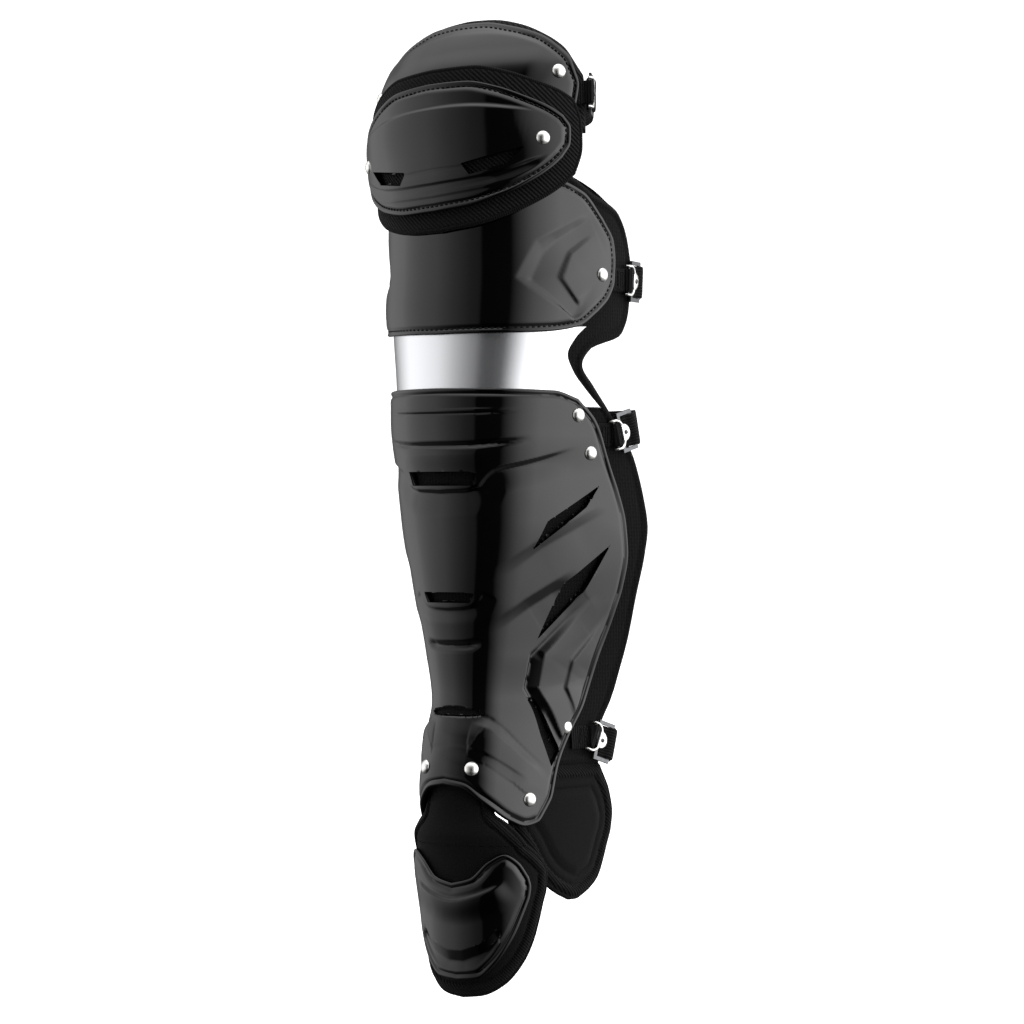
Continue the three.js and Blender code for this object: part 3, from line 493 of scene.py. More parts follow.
def newMaterial(name, **shader):
    material = bpy.data.materials.new(name)
    material.use_nodes = True
    tree = material.node_tree
    tree.nodes.clear()
    bsdf = node(tree, "BsdfPrincipled", inputs=shader)
    node(tree, "OutputMaterial", links={"Surface": bsdf.outputs[0]})
    return material, tree, bsdf


def noiseOf(tree, place, scale, detail):
    return node(tree, "TexNoise", {"Vector": place}, {"Scale": scale, "Detail": detail}).outputs["Fac"]


def varied(tree, bsdf, noise, lowest, highest):  # roughness that wanders between two values
    rough = node(tree, "MapRange", {"Value": noise}, {"To Min": lowest, "To Max": highest})
    tree.links.new(rough.outputs[0], bsdf.inputs["Roughness"])


def bumped(tree, bsdf, *layers):  # each layer: height, distance and strength, the coarsest first
    links = {}
    for height, distance, strength in layers:
        made = node(tree, "Bump", {"Height": height, **links}, {"Distance": distance, "Strength": strength})
        links = {"Normal": made.outputs[0]}
    tree.links.new(made.outputs[0], bsdf.inputs["Normal"])


def mouldedPlastic(name, colour, roughness, grain=0.4, **shader):
    # injection moulded: a mirror-like skin with a slight waviness and faint dust-fine unevenness
    material, tree, bsdf = newMaterial(name, **{"Base Color": linear(colour), "IOR": 1.5, **shader})
    place = node(tree, "TexCoord").outputs["Object"]
    wave = noiseOf(tree, place, 24.0, 0.0)  # moulding waves about 40 mm apart
    skin = noiseOf(tree, place, 900.0, 2.0)  # grain about 1 mm
    varied(tree, bsdf, skin, roughness * 0.75, roughness * 1.3)
    bumped(tree, bsdf, (wave, 0.0006, 0.25), (skin, 0.00001, grain))
    return material


def cloth(name, dark, light, pitch, kind="twill", bump=0.25, roughness=0.85, sheen=0.03):
    # dull fibres with a dark ground: pitch is the real distance between ribs or holes in mm
    material, tree, bsdf = newMaterial(name, Roughness=roughness, IOR=1.5, **{
        "Sheen Weight": sheen, "Sheen Roughness": 0.4, "Specular IOR Level": 0.14})
    flat = node(tree, "TexCoord").outputs["UV"]
    fuzz = noiseOf(tree, flat, 1 / (1.1 * mm), 3.0)
    if kind == "holes":
        cell = node(tree, "TexVoronoi", {"Vector": flat}, {"Scale": 1 / (pitch * mm), "Randomness": 0.25},
                    voronoi_dimensions="2D")
        height = cell.outputs["Distance"]
    else:
        ribs, direction = {"twill": (0.444, "DIAGONAL"), "ribsAlong": (0.314, "Y"),
                           "ribsAcross": (0.314, "X")}[kind]
        wave = node(tree, "TexWave", {"Vector": flat}, {
            "Scale": ribs / (pitch * mm), "Distortion": 0.6, "Detail": 1.0, "Detail Scale": 2.0},
            bands_direction=direction)
        height = wave.outputs["Fac"]
    both = node(tree, "Math", {0: height, 1: fuzz}, operation="MULTIPLY")
    mix = node(tree, "Mix", {"Factor": both.outputs[0]}, {6: linear(dark), 7: linear(light)},
               data_type="RGBA")
    tree.links.new(mix.outputs[2], bsdf.inputs["Base Color"])
    bumped(tree, bsdf, (height, bump * mm, 0.8), (fuzz, 0.12 * mm, 0.6))
    return material


def metal(name, colour, roughness, grain=0.0):
    # plated or satin steel: the grain is a fine rub, the rest is tiny handling marks
    material, tree, bsdf = newMaterial(name, Metallic=1.0, **{"Base Color": linear(colour)})
    marks = noiseOf(tree, node(tree, "TexCoord").outputs["Object"], 420.0, 4.0)
    varied(tree, bsdf, marks, roughness * 0.7, roughness * 1.4)
    bumped(tree, bsdf, (marks, 0.00003, 0.2 + grain))
    return material


blackShell = mouldedPlastic("gloss black moulded plastic", "#030304", 0.07)
silverShell = mouldedPlastic("silver metallised plastic", "#e4e5e8", 0.22, grain=0.0, Metallic=0.92)
spacerMesh = cloth("black spacer mesh", "#020202", "#161618", 2.4, kind="holes", bump=0.5)
ribTape = cloth("black ribbed twill tape", "#010101", "#27272a", 2.2, bump=0.8)
neopreneCloth = cloth("black neoprene jersey", "#050505", "#18181a", 1.1, kind="holes", bump=0.2)
borderTape = cloth("black binding twill", "#010101", "#161618", 1.7, bump=0.5)
piping = cloth("black woven binding", "#020202", "#19191b", 1.4, kind="ribsAcross", bump=0.25)
elasticWeb = cloth("black ribbed elastic", "#020202", "#232326", 1.8, kind="ribsAlong", bump=0.45)
nylonWeb = cloth("black nylon webbing", "#020202", "#1b1b1d", 1.8, kind="ribsAcross", bump=0.4)
threadBlack = cloth("black bonded thread", "#060607", "#2a2a2c", 0.8, kind="ribsAcross", bump=0.1,
                    roughness=0.55)
nickelPlate = metal("bright nickel plate", "#f1f0ed", 0.24)
satinSteel = metal("satin steel", "#666769", 0.4, grain=0.3)
print("materials made")


# moulded plates
bandRise = bandThick + 2.5 * gap  # how far the two plates stand out over the band
overlap, kneeRun, shinRun = 6, 34, 40  # how far they reach over it, and how long the rise takes


def flatSeat(z):
    return seatGap + 0 * z


def shinSeat(z):  # the shin plate rises over the band's foot
    return seatGap + bandRise * (1 - ramp((-0.414 * kneeToAnkle - overlap - z) / shinRun))


def lowerKneeSeat(z):  # and the lower knee plate over its head
    return seatGap + bandRise * ramp((-0.286 * kneeToAnkle + overlap + kneeRun - z) / kneeRun)


def plate(form, outlineName, step, rim, dome, seat=flatSeat, stitched=False, lines=(), vents=(), wells=()):
    return {"form": form, "outline": outlineName, "step": step, "rim": rim, "dome": dome, "seat": seat,
            "stitched": stitched, "lines": lines, "vents": vents, "wells": wells}


plates = {
    "thigh_shell": plate(
        thighForm, "thighShell", step=1.25, rim=1.0, dome=0.5, stitched=True, lines=[
            crease([(72, 44), (60, 50), (42, 57), (24, 60.5), (0, 62)], 3, 0.9, 34, (14, 0)),
        ]),
    "knee_cup": plate(
        cupForm, "cup", step=1.0, rim=1.0, dome=0.9, stitched=True, lines=[
            crease([(76, 3), (62, 7), (47, 9.5), (33, 11.8), (18, 13), (0, 13.2)], 2.0, 1.7, 26, (34, 0)),
            crease([(52, -19.5), (22, -24.6), (10, -24.2), (0, -24)], 1.3, -0.5, 5, (6, 0)),
            crease([(74, -21), (60, -25.6), (44, -30.6), (25, -33), (0, -33.5)], 1.8, -1.1, 8, (16, 0)),
            crease([(76, -27), (60, -34), (43, -39), (18, -41), (0, -41.5)], 1.8, -0.9, 7, (18, 0)),
        ],
        vents=[[(20.25, -23.2), (59.4, -16), (48.6, -26.4), (25.2, -30.8)]]),
    "lower_knee_shell": plate(
        legForm, "lowerKnee", step=1.15, rim=0.9, dome=0.4, seat=lowerKneeSeat, stitched=True, lines=[
            facet([(104, -45), (98, -49), (61, -68), (48, -92), (82, -115), (92, -121)],
                path=[(108, -50), (98, -55), (75, -68), (66, -77), (58, -93), (86, -116), (92, -121)],
                behind=[(112, -118), (130, -78), (118, -48)], height=-2.0, tail=34, taper=(22, 10)),
            facet([(106, -60), (103, -62), (83, -75), (74.5, -91), (88, -107), (91, -110)],
                path=[(107, -61), (104, -62.5), (86, -75.5), (78.5, -91), (89.5, -106.5), (91, -110)],
                behind=[(108, -104), (122, -80), (112, -58)], height=1.4, tail=22, taper=(18, 8)),
        ]),
    "shin_shell": plate(
        legForm, "shin", step=1.0, rim=0.9, dome=0.4, seat=shinSeat, lines=[
            groove([(0, -177.2), (28, -177), (54, -175)], 1.7, 0.9, (0, 28)),
            crease([(52, -172.5), (30, -174), (0, -174.4)], 1.6, 0.7, 5, (30, 0)),
            groove([(0, -197), (21, -197), (40, -195.2), (58, -192.5)], 2.7, 1.6, (0, 26)),
            crease([(34, -199), (22, -200.6), (0, -200.6)], 3.0, 0.6, 14, (10, 0)),
            crease([(92, -197), (58, -206.5), (36, -211.5), (30, -216), (24, -224.5), (0, -225.5)],
                2.0, -1.8, 15, (44, 0), rounds=1),
            crease([(24, -288), (17.5, -298.5), (0, -299.5)], 1.8, -0.7, 9, (3, 0)),
            facet([(116, -230), (63, -253), (20, -280)],
                path=[(116, -236), (63, -261), (20, -289)],
                behind=[(20, -330), (64, -306), (136, -268)], height=-1.5, tail=34, taper=(34, 46)),
            facet([(88, -272), (48, -293), (17, -312)],
                path=[(86, -280.5), (48, -301), (17, -320)],
                behind=[(17, -360), (50, -342), (108, -312)], height=-2.2, tail=34, taper=(26, 46)),
            facet([(101, -287), (82, -301), (49, -328), (43, -350), (47, -357), (77, -390), (84, -396)],
                path=[(103, -291), (96, -296), (59, -328), (53, -350), (56, -355), (79, -388), (84, -396)],
                behind=[(98, -384), (128, -310), (120, -290)], height=2.2, tail=40, taper=(60, 20),
                dip=2.2),
            facet([(113, -297), (110, -300), (76, -332), (69.5, -350), (81, -371), (84, -376)],
                path=[(114, -299), (111, -302.5), (80, -333), (74.5, -350), (82.5, -370), (84, -376)],
                behind=[(100, -372), (132, -318)], height=1.4, tail=26, taper=(40, 14), dip=1.2),
            groove([(0, -323), (10, -323), (20, -320.5)], 4.2, 1.9, (0, 8)),
            facet([(80, -410), (51, -390), (36, -378), (23, -369), (14, -365)],
                path=[(76, -416), (51, -397.5), (36, -386), (23, -377), (12, -373)],
                behind=[(12, -392), (40, -408), (70, -430)], height=1.5, tail=22, taper=(34, 12), dip=1.3),
            crease([(54, -409), (24, -392), (10, -387), (0, -386)], 1.6, -0.5, 12, (14, 0)),
        ],
        vents=[
            [(67, -243.9), (108, -221.2), (96, -235.5), (55.5, -262.3)],
            [(78, -282.8), (114, -258.9), (91.5, -289.1), (54.8, -319.3)],
            [(45, -356.2), (50.3, -356.2), (76.5, -391.8), (70.5, -401)],
            [(-24.75, -212.9), (24.75, -212.9), (21.75, -221.7), (-21.75, -221.7)],
            [(-18, -288.7), (18, -288.7), (15, -295.4), (-15, -295.4)],
        ],
        wells=[{"top": -362, "low": -369.5, "drop": 4.5, "half": 18, "depth": 2.3}]),
    "toe_shell": plate(
        toeForm, "toeShell", step=0.9, rim=0.9, dome=0.6, lines=[
            crease([(34, -470), (20, -478), (6, -482.6), (0, -483)], 2.6, 1.7, 16, (12, 0), rounds=1),
            facet([(28, -500), (17, -511), (5, -515.6), (-5, -515.6), (-17, -511), (-28, -500)],
                path=[(28, -507), (18, -517), (5, -522.5), (-5, -522.5), (-18, -517), (-28, -507)],
                behind=[(-26, -524), (-12, -534), (12, -534), (26, -524)], height=-1.5, tail=11,
                taper=(6, 6)),
        ]),
}
# form, wrap, height and seat of each pair of rivets
rivetRows = {
    "rivet_thigh": (thighForm, 75, 33.11, flatSeat), "rivet_cup": (cupForm, 71.1, -11.2, flatSeat),
    "rivet_lower_knee": (legForm, 110.25, -87.99, lowerKneeSeat),
    "rivet_shin_upper": (legForm, 89.55, -177.45, shinSeat),
    "rivet_shin_lower": (legForm, 100.5, -201.12, shinSeat),
    "rivet_ankle_side": (legForm, 78, -376.26, flatSeat),
    "rivet_ankle_low": (legForm, 55.05, -420.68, flatSeat),
    "rivet_ankle_front": (legForm, 16.05, -400.98, flatSeat),
}
# the rim's channel, where the relief and the dome begin, the rounded edge, the inner face's height over the
# seat, and how deep the stitches lie
moulding = {"channel": 3.3, "channelReach": 1.5, "reliefFrom": 4.5, "domeFrom": 4.2, "edge": 1.1,
            "under": 0.25, "stitchDrop": 0.75}
# inset and drop of a vent's walls
ventLevels = [(0, -0.02), (0.25, -0.35), (0.55, -1.2), (0.95, 0.1 - shellThick)]
ventReach, facetReach, grooveReach = 0.72, 0.42, 0.5  # how far points move onto such a line, in steps


def wellShare(well, s, z):  # how wide the slot is there, and how far down it a point lies
    bow = np.clip(1 - (s / well["half"]) ** 2, 0, 1)
    top = well["top"] - well["drop"] * (1 - bow)
    return bow, (top - z) / ((well["top"] - well["low"]) * bow ** 0.7 + 0.01)


def plateRise(spec, thick, s, z, d):  # height over the seat, d from the rim
    rise = thick + reliefOf(spec["lines"], np.abs(s), z) * ramp((d - moulding["reliefFrom"]) / 3)
    rise += spec["dome"] * ramp((d - moulding["domeFrom"]) / 2.6)
    rise -= 1.0 * spec["rim"] * (1 - ramp(np.abs(d - moulding["channel"]) / moulding["channelReach"]))
    r = moulding["edge"]
    rise -= np.where(d < r, r - np.sqrt(np.maximum(r * r - (r - d) ** 2, 0)), 0)
    for well in spec["wells"]:  # a lens-shaped slot with steep walls
        bow, share = wellShare(well, s, z)
        wall = np.clip(share / 0.12, 0, 1) * np.clip((1 - share) / 0.3, 0, 1)
        rise -= well["depth"] * np.where((share > 0) & (share < 1), wall * ramp(bow / 0.15), 0)
    return rise


def snapped(s, z, lines):  # points near a vent's, facet's or groove's line move onto it
    free = np.ones(s.shape, bool)
    for loop, reach in lines:
        best, toS, toZ = np.full(s.shape, 1e9), s.copy(), z.copy()
        for a, b in zip(loop[:-1], loop[1:]):
            d = b - a
            t = np.clip(((s - a[0]) * d[0] + (z - a[1]) * d[1]) / (d @ d), 0, 1)
            ps, pz = a[0] + d[0] * t, a[1] + d[1] * t
            far = np.hypot(s - ps, z - pz)
            near = far < best
            best, toS, toZ = np.where(near, far, best), np.where(near, ps, toS), np.where(near, pz, toZ)
        snap = (best < reach) & free
        free &= ~snap
        s, z = np.where(snap, toS, s), np.where(snap, toZ, z)
    return s, z


def snapLines(spec, vents):
    step = spec["step"]
    lines = [(np.array(corners + corners[:1], float), ventReach * step) for corners in vents]
    for line in spec["lines"]:
        for hand in (1, -1):
            if line["kind"] == "facet":
                lines += [(np.array(line[key], float) * (hand, 1), facetReach * step)
                          for key in ("edge", "path")]
            elif line["kind"] == "groove":
                lines.append((smoothPath(line["path"], line["rounds"]) * (hand, 1), grooveReach * step))
    return lines


def outsideOf(polygons, s, z):
    keep = np.ones(s.shape, bool)
    for corners in polygons:
        keep &= ~insidePolygon(s, z, corners)
    return keep


def buildPlate(name, spec, thick=shellThick, material=blackShell):
    form, seat = spec["form"], spec["seat"]
    rim = rimOf(panel(spec["outline"]))
    s, z = gridOver(panel(spec["outline"]), rim[:, 0].max() * 2, np.ptp(rim[:, 1]), spec["step"])
    vents = []
    for corners in spec["vents"]:
        vents.append(corners)
        if min(c[0] for c in corners) > 0:
            vents.append([(-a, b) for a, b in corners[::-1]])
    inner = (slice(4, -4), slice(4, -4))
    s[inner], z[inner] = snapped(s[inner].copy(), z[inner].copy(), snapLines(spec, vents))
    rise = seat(z) + plateRise(spec, thick, s, z, rimDistance(s, z, rim))
    midS, midZ = ((g[:-1, :-1] + g[1:, :-1] + g[1:, 1:] + g[:-1, 1:]) / 4 for g in (s, z))
    keep = outsideOf(vents, midS, midZ)
    lined = np.zeros(keep.shape, int)
    for well in spec["wells"]:  # the slot's floor is the lining
        bow, share = wellShare(well, midS, midZ)
        lined[(share > 0.02) & (share < 0.72) & (bow > 0.1)] = 1
    outer = {"verts": onForm(form, s, z, rise), "faces": gridFaces(*s.shape, keep),
             "uv": np.stack([s, z], -1), "material": lined[keep]}
    # side wall down to the seat, then a plain inner face on every third row and column
    ring = borderRing(*s.shape)
    rs, rz = s.ravel()[ring], z.ravel()[ring]
    edges = [onForm(form, rs, rz, rise.ravel()[ring]), onForm(form, rs, rz, seat(rz) + moulding["under"])]
    wall = {"verts": np.concatenate(edges), "uv": np.tile(np.stack([rs, rz], -1), (2, 1)),
            "faces": ringFaces(2, len(ring))}
    coarse = np.ix_(*(np.unique(np.concatenate([np.arange(0, n, 3), [n - 1]])) for n in s.shape))
    bs, bz = s[coarse], z[coarse]
    keepBack = outsideOf(vents, (bs[:-1, :-1] + bs[1:, 1:]) / 2, (bz[:-1, :-1] + bz[1:, 1:]) / 2)
    back = {"verts": onForm(form, bs, bz, seat(bz) + moulding["under"]), "uv": np.stack([bs, bz], -1),
            "faces": gridFaces(*bs.shape, keepBack, turned=True)}
    parts = [outer, wall, back]
    for corners in vents:  # drafted walls of each vent
        loop = evenly(np.array(corners, float), 0.9)
        to = loop.mean(0) - loop
        to = to / np.maximum(np.linalg.norm(to, axis=1, keepdims=True), 1e-6)
        lip = seat(loop[:, 1]) + plateRise(spec, thick, *loop.T, rimDistance(loop[:, 0], loop[:, 1], rim))
        rings = [onForm(form, *(loop + to * inset).T, lip + drop) for inset, drop in ventLevels]
        turns = sum((x1 - x0) * (y1 + y0) for (x0, y0), (x1, y1) in zip(corners, corners[1:] + corners[:1]))
        parts.append({"verts": np.concatenate(rings), "uv": np.tile(loop, (len(rings), 1)),
                      "faces": ringFaces(len(rings), len(loop), turned=turns <= 0)})
    obj = makeObject("moulded_" + name, parts, [material, spacerMesh] if spec["wells"] else [material])
    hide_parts(name)
    if spec["stitched"]:
        line = insetPath(rim, moulding["channel"])
        sew = stitches(form, line, lambda a, b: seat(b) + thick - moulding["stitchDrop"])
        thread = makeObject("stitching_" + name, sew, [threadBlack])
    return obj


for name, spec in plates.items():
    made = buildPlate(name, spec)
    print("plate", name, len(made.data.polygons))

bandSpec = plate(legForm, "band", step=1.6, rim=0.0, dome=0.0)
buildPlate("shin_band", bandSpec, thick=bandThick, material=silverShell)
print("band made")


# pads: form, region, thickness, edge, fill, step, sewn channels, cloth, pitch of the quilting, slot, width of
# the border's tape, and the edge that stays open (0 top, 2 bottom)
pads = {
    "thigh_pad": (thighForm, panel("thighPad"), padThick, padEdge, 0.5, 2.0, [7.5], ribTape, 26, "mesh_cloth",
                  0, None),
    "leg_pad": (legForm, panel("legPad"), padThick, padEdge, 0.5, 2.2, [6.5], spacerMesh, 34, "mesh_cloth",
                0, None),
    "knee_pad": (cupForm, panel("kneePad"), 3.7, 3.2, 0.5, 1.5, [], ribTape, 0, "mesh_cloth", 0, None),
    "wing_pad_outer": (legForm, wingPanel(1), 7, padEdge, 0.55, 1.4, [7.5, 14], neopreneCloth, 0,
                       "mesh_cloth", 7.5, None),
    "wing_pad_inner": (legForm, wingPanel(-1), 7, padEdge, 0.55, 1.4, [7.5, 14], neopreneCloth, 0,
                       "mesh_cloth", 7.5, None),
    "instep_flap": (toeForm, panel("flap"), 4, 3.4, 0.4, 1.3, [7.5], neopreneCloth, 0, "neoprene", 7.5, 2),
    "toe_pad": (toeForm, panel("toePad"), padThick, padEdge, 0.5, 1.3, [7.5], neopreneCloth, 0, "mesh_cloth",
                7.5, 0),
}
padFine = (0.3, 0.8, 1.6, 2.6)  # the grid's lines near a pad's edge
quiltStretch, quiltSeam = 1.3, 4  # the foam blocks are taller than wide, with seams this wide


def buildPad(name, form, region, thick, edge, fill, step, channels, fabric, quilt, slot, tape, flush):
    rim = rimOf(region)
    s, z = gridOver(region, np.ptp(rim[:, 0]), np.ptp(rim[:, 1]), step, fine=padFine)
    whole = flush is None
    sewn = openRim(rim, flush)
    d = rimDistance(s, z, sewn, whole)
    roll = edge / 2 + 0.6
    q = np.sqrt(np.clip(1 - (1 - np.minimum(d / roll, 1)) ** 2, 0, 1))  # the edge's round section
    sink = 0 * z
    if name == "instep_flap":  # the flap's upper part lies under the shin plate
        top = -kneeToAnkle + 0.169 * toeLength
        sink = -2.4 * (1 - ramp(((top - z) / (0.408 * toeLength) - 0.6) / 0.3))
    channel = 0 * z
    for k, at in enumerate(channels):
        channel += (1.3 if k == 0 else 0.9) * (1 - ramp(np.abs(d - at) / 1.7))
    if name.startswith("wing"):
        channel -= 1.1 * ramp((d - 15) / 5)  # raised middle of the wing
    puff = 0.9 * ramp((d - 1) / 2.5) * (1 - ramp((d - 6) / 3)) if channels else 0 * d
    face = -edge / 2 + (edge / 2) * q + (puff - channel) * q + sink
    back = -edge / 2 - (edge / 2 + (thick - edge) * ramp(d / 14)) * q + sink
    if quilt:  # foam blocks on the leg side, with sewn channels between them
        across = np.abs((s / quilt + 0.5) % 1 - 0.5) * quilt
        updown = np.abs((z / (quilt * quiltStretch) + 0.5) % 1 - 0.5) * quilt * quiltStretch
        sewn = (1 - ramp(across / quiltSeam)) + (1 - ramp(updown / quiltSeam)) * ramp(across / quiltSeam)
        back += 2.6 * sewn * ramp((d - 6) / 6) - 0.6 * ramp((d - 6) / 8)
    ring, count = borderRing(*s.shape), s.size
    shell = {"verts": np.concatenate([onForm(form, s, z, level).reshape(-1, 3) for level in (face, back)]),
             "faces": gridFaces(*s.shape)
             + [tuple(i + count for i in f) for f in gridFaces(*s.shape, turned=True)]
             + [(a, b, b + count, a + count) for a, b in zip(ring.tolist(), np.roll(ring, -1).tolist())],
             "uv": np.tile(np.stack([s, z], -1).reshape(-1, 2), (2, 1))}
    if tape:  # a ribbed tape is sewn round the border
        middle = (d[:-1, :-1] + d[1:, 1:]) / 2
        shell["material"] = np.concatenate([np.where(middle < tape, 3, 0).ravel(), np.zeros(middle.size, int),
                                            np.full(len(ring), 3)])
    at = evenly(sewn, 2.2, whole)
    low = np.interp(at[:, 1], np.sort(z[:, 0]), sink[np.argsort(z[:, 0]), 0]) if name == "instep_flap" else 0
    cord = sweep(onForm(form, at[:, 0], at[:, 1], low - edge / 2 + 0 * at[:, 0]),
                 min(1.7, edge / 2 + 0.1), 10, closed=whole, material=1)
    parts = [shell, cord]
    if channels and whole:
        parts += stitches(form, insetPath(rim, channels[0]), -1.05, pitch=4.0, length=2.6, thread=0.38,
                          material=2)
    obj = makeObject("padded_" + name, parts, [fabric, piping, threadBlack, borderTape], smooth=60)
    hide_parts(name)
    return obj


for name, row in pads.items():
    made = buildPad(name, *row)
    print("pad", name, len(made.data.polygons))


# rivets
rivet = {"radius": 4.6, "rise": 2.4, "sides": 36, "above": 0.35}


def spun(profile, n):  # a turned form: one ring of n points for each radius and height
    return np.array([(a * math.cos(2 * math.pi * k / n), a * math.sin(2 * math.pi * k / n), h)
                     for a, h in profile for k in range(n)])


def inFrame(place, points):
    origin, x, y, out = place
    points = np.asarray(points, float)
    return origin + points[..., :1] * x + points[..., 1:2] * y + points[..., 2:3] * out


def buildRivet(name, form, s, z, seat):
    place, around, up, normal = formAxes(form, s, z)
    place = place + normal * (seat(np.array(z)) + shellThick + rivet["above"])
    r, n = rivet["radius"], rivet["sides"]
    profile = [(0, -0.6), (r * 0.93, -0.6), (r, -0.2), (r, 0.25)]
    for k in range(1, 9):
        t = math.pi / 2 * k / 8
        radius = r * math.cos(t) * 0.985 if k < 8 else 0.0
        profile.append((radius, 0.35 + rivet["rise"] * math.sin(t) ** 1.15))
    head = {"verts": inFrame((place, around, up, normal), spun(profile, n)),
            "faces": ringFaces(len(profile), n, turned=s < 0)}
    obj = makeObject("domed_" + name, [head], [nickelPlate], smooth=70)
    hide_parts(name)


for name, (form, s, z, seat) in rivetRows.items():
    buildRivet(name + "_outer", form, s, z, seat)
    buildRivet(name + "_inner", form, -s, z, seat)
print("rivets made")


# buckles and straps: place of the bar, turns of the buckle, root and edge of the tab, reach of the strap
# behind the leg, and how square its way round is
buckleColumns = ("form", "bar", "z", "lean", "fold", "swing", "root", "edge", "reach", "square")
buckles = {
    "thigh": (thighForm, 97, 20.79, 0, 52, 0, 72, 97, 70, 2.2),
    "knee": (legForm, 138.75, -90.085, 4, 8, 0, 110.25, 148.5, 31.95, 1.6),
    "calf": (legForm, 123, -189.388, -16, 4, 0, 100.5, 142.5, 31.95, 1.6),
    "ankle": (legForm, 103.5, -383.385, 12, -4, 7, 78, 117.75, 24, 1.6),
}
fitting = {
    "webThick": 1.8, "tabWidth": 15, "strapWidth": 22, "strapThick": 1.8, "barReach": 20, "barRadius": 1,
    "barRise": 2.9, "slideLength": 13.4, "slideHeight": 26, "slideThick": 1.6, "slideRail": 2.4,
    "hookPlate": 11.4, "hookThick": 1.4, "clawRadius": 0.9, "slideStart": 3.6,
}


def turnedAbout(axis, v, degrees):
    t = math.radians(degrees)
    return v * math.cos(t) + np.cross(axis, v) * math.sin(t) + axis * axis.dot(v) * (1 - math.cos(t))


def buckleFrame(row):  # origin on the bar, x towards the strap, y up the bar, z out
    place, x, y, out = formAxes(row["form"], row["bar"], row["z"])
    place = place + out * fitting["barRise"]
    x, y = turnedAbout(out, x, -row["lean"]), turnedAbout(out, y, -row["lean"])
    x, out = turnedAbout(y, x, row["fold"]), turnedAbout(y, out, row["fold"])
    return place, x, y, out


def slideFrame(row, about=5.6):  # the same, swung about the middle of the hook's plate
    place, x, y, out = buckleFrame(row)
    middle = place + x * about
    x, y = turnedAbout(out, x, row["swing"]), turnedAbout(out, y, row["swing"])
    return middle - x * about, x, y, out


def ribbon(path, wide, width, thick, material=0):  # rounded flat section swept along a path
    path, wide = np.asarray(path, float), unit(np.asarray(wide, float))
    ahead = unit(np.gradient(path, axis=0))
    out = unit(np.cross(wide, ahead))
    across = unit(np.cross(ahead, out))
    sides = 16
    verts, uv, run = [], [], 0.0
    for i, p in enumerate(path):
        run += np.linalg.norm(p - path[i - 1]) if i else 0
        for k in range(sides):
            t = 2 * math.pi * (k + 0.5) / sides
            a = np.sign(math.cos(t)) * abs(math.cos(t)) ** 0.25 * width / 2
            b = np.sign(math.sin(t)) * abs(math.sin(t)) ** 0.7 * thick / 2
            verts.append(p + across[i] * a + out[i] * b)
            uv.append((run, a))
    faces = ringFaces(len(path), sides) + capFaces(len(path), sides)
    return {"verts": verts, "faces": faces, "uv": uv, "material": material}


def buildTab(name, row):
    place = buckleFrame(row)
    half = fitting["webThick"] / 2
    far = row["bar"] - 3.2
    run = np.linspace(row["root"] - 6, far, 14)
    lift = -half + (fitting["barRise"] - half) * 0.35 * ramp((run - far + 7) / 7)
    under = onForm(row["form"], run, row["z"] + 0 * run, lift)
    reach = fitting["barRadius"] + gap + half
    turn = np.radians(np.linspace(-115, 150, 13))
    loop = inFrame(place, np.stack([reach * np.cos(turn), 0 * turn, reach * np.sin(turn)], -1))
    backRun = np.linspace(far, row["root"] + 8, 8)
    over = onForm(row["form"], backRun, row["z"] + 0 * backRun, 1.15 + 0.5 * ramp((backRun - far + 6) / 6))
    path = evenly(np.concatenate([under, loop, over]), 1.2, closed=False)
    wide = np.tile(place[2], (len(path), 1))
    parts = [ribbon(path, wide, fitting["tabWidth"], fitting["webThick"])]
    middle, half = row["bar"] - 8, (2.2, 5.4)  # the box of stitches that closes the loop
    corners = ((-1, -1), (1, -1), (1, 1), (-1, 1))
    box = [(middle + a * half[0], row["z"] + b * half[1]) for a, b in corners]
    parts += stitches(row["form"], box, 2.3, pitch=2.4, length=1.8, thread=0.3, material=1)
    obj = makeObject("webbing_tab_" + name, parts, [nylonWeb, threadBlack], smooth=50)
    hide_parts("tab_" + name)


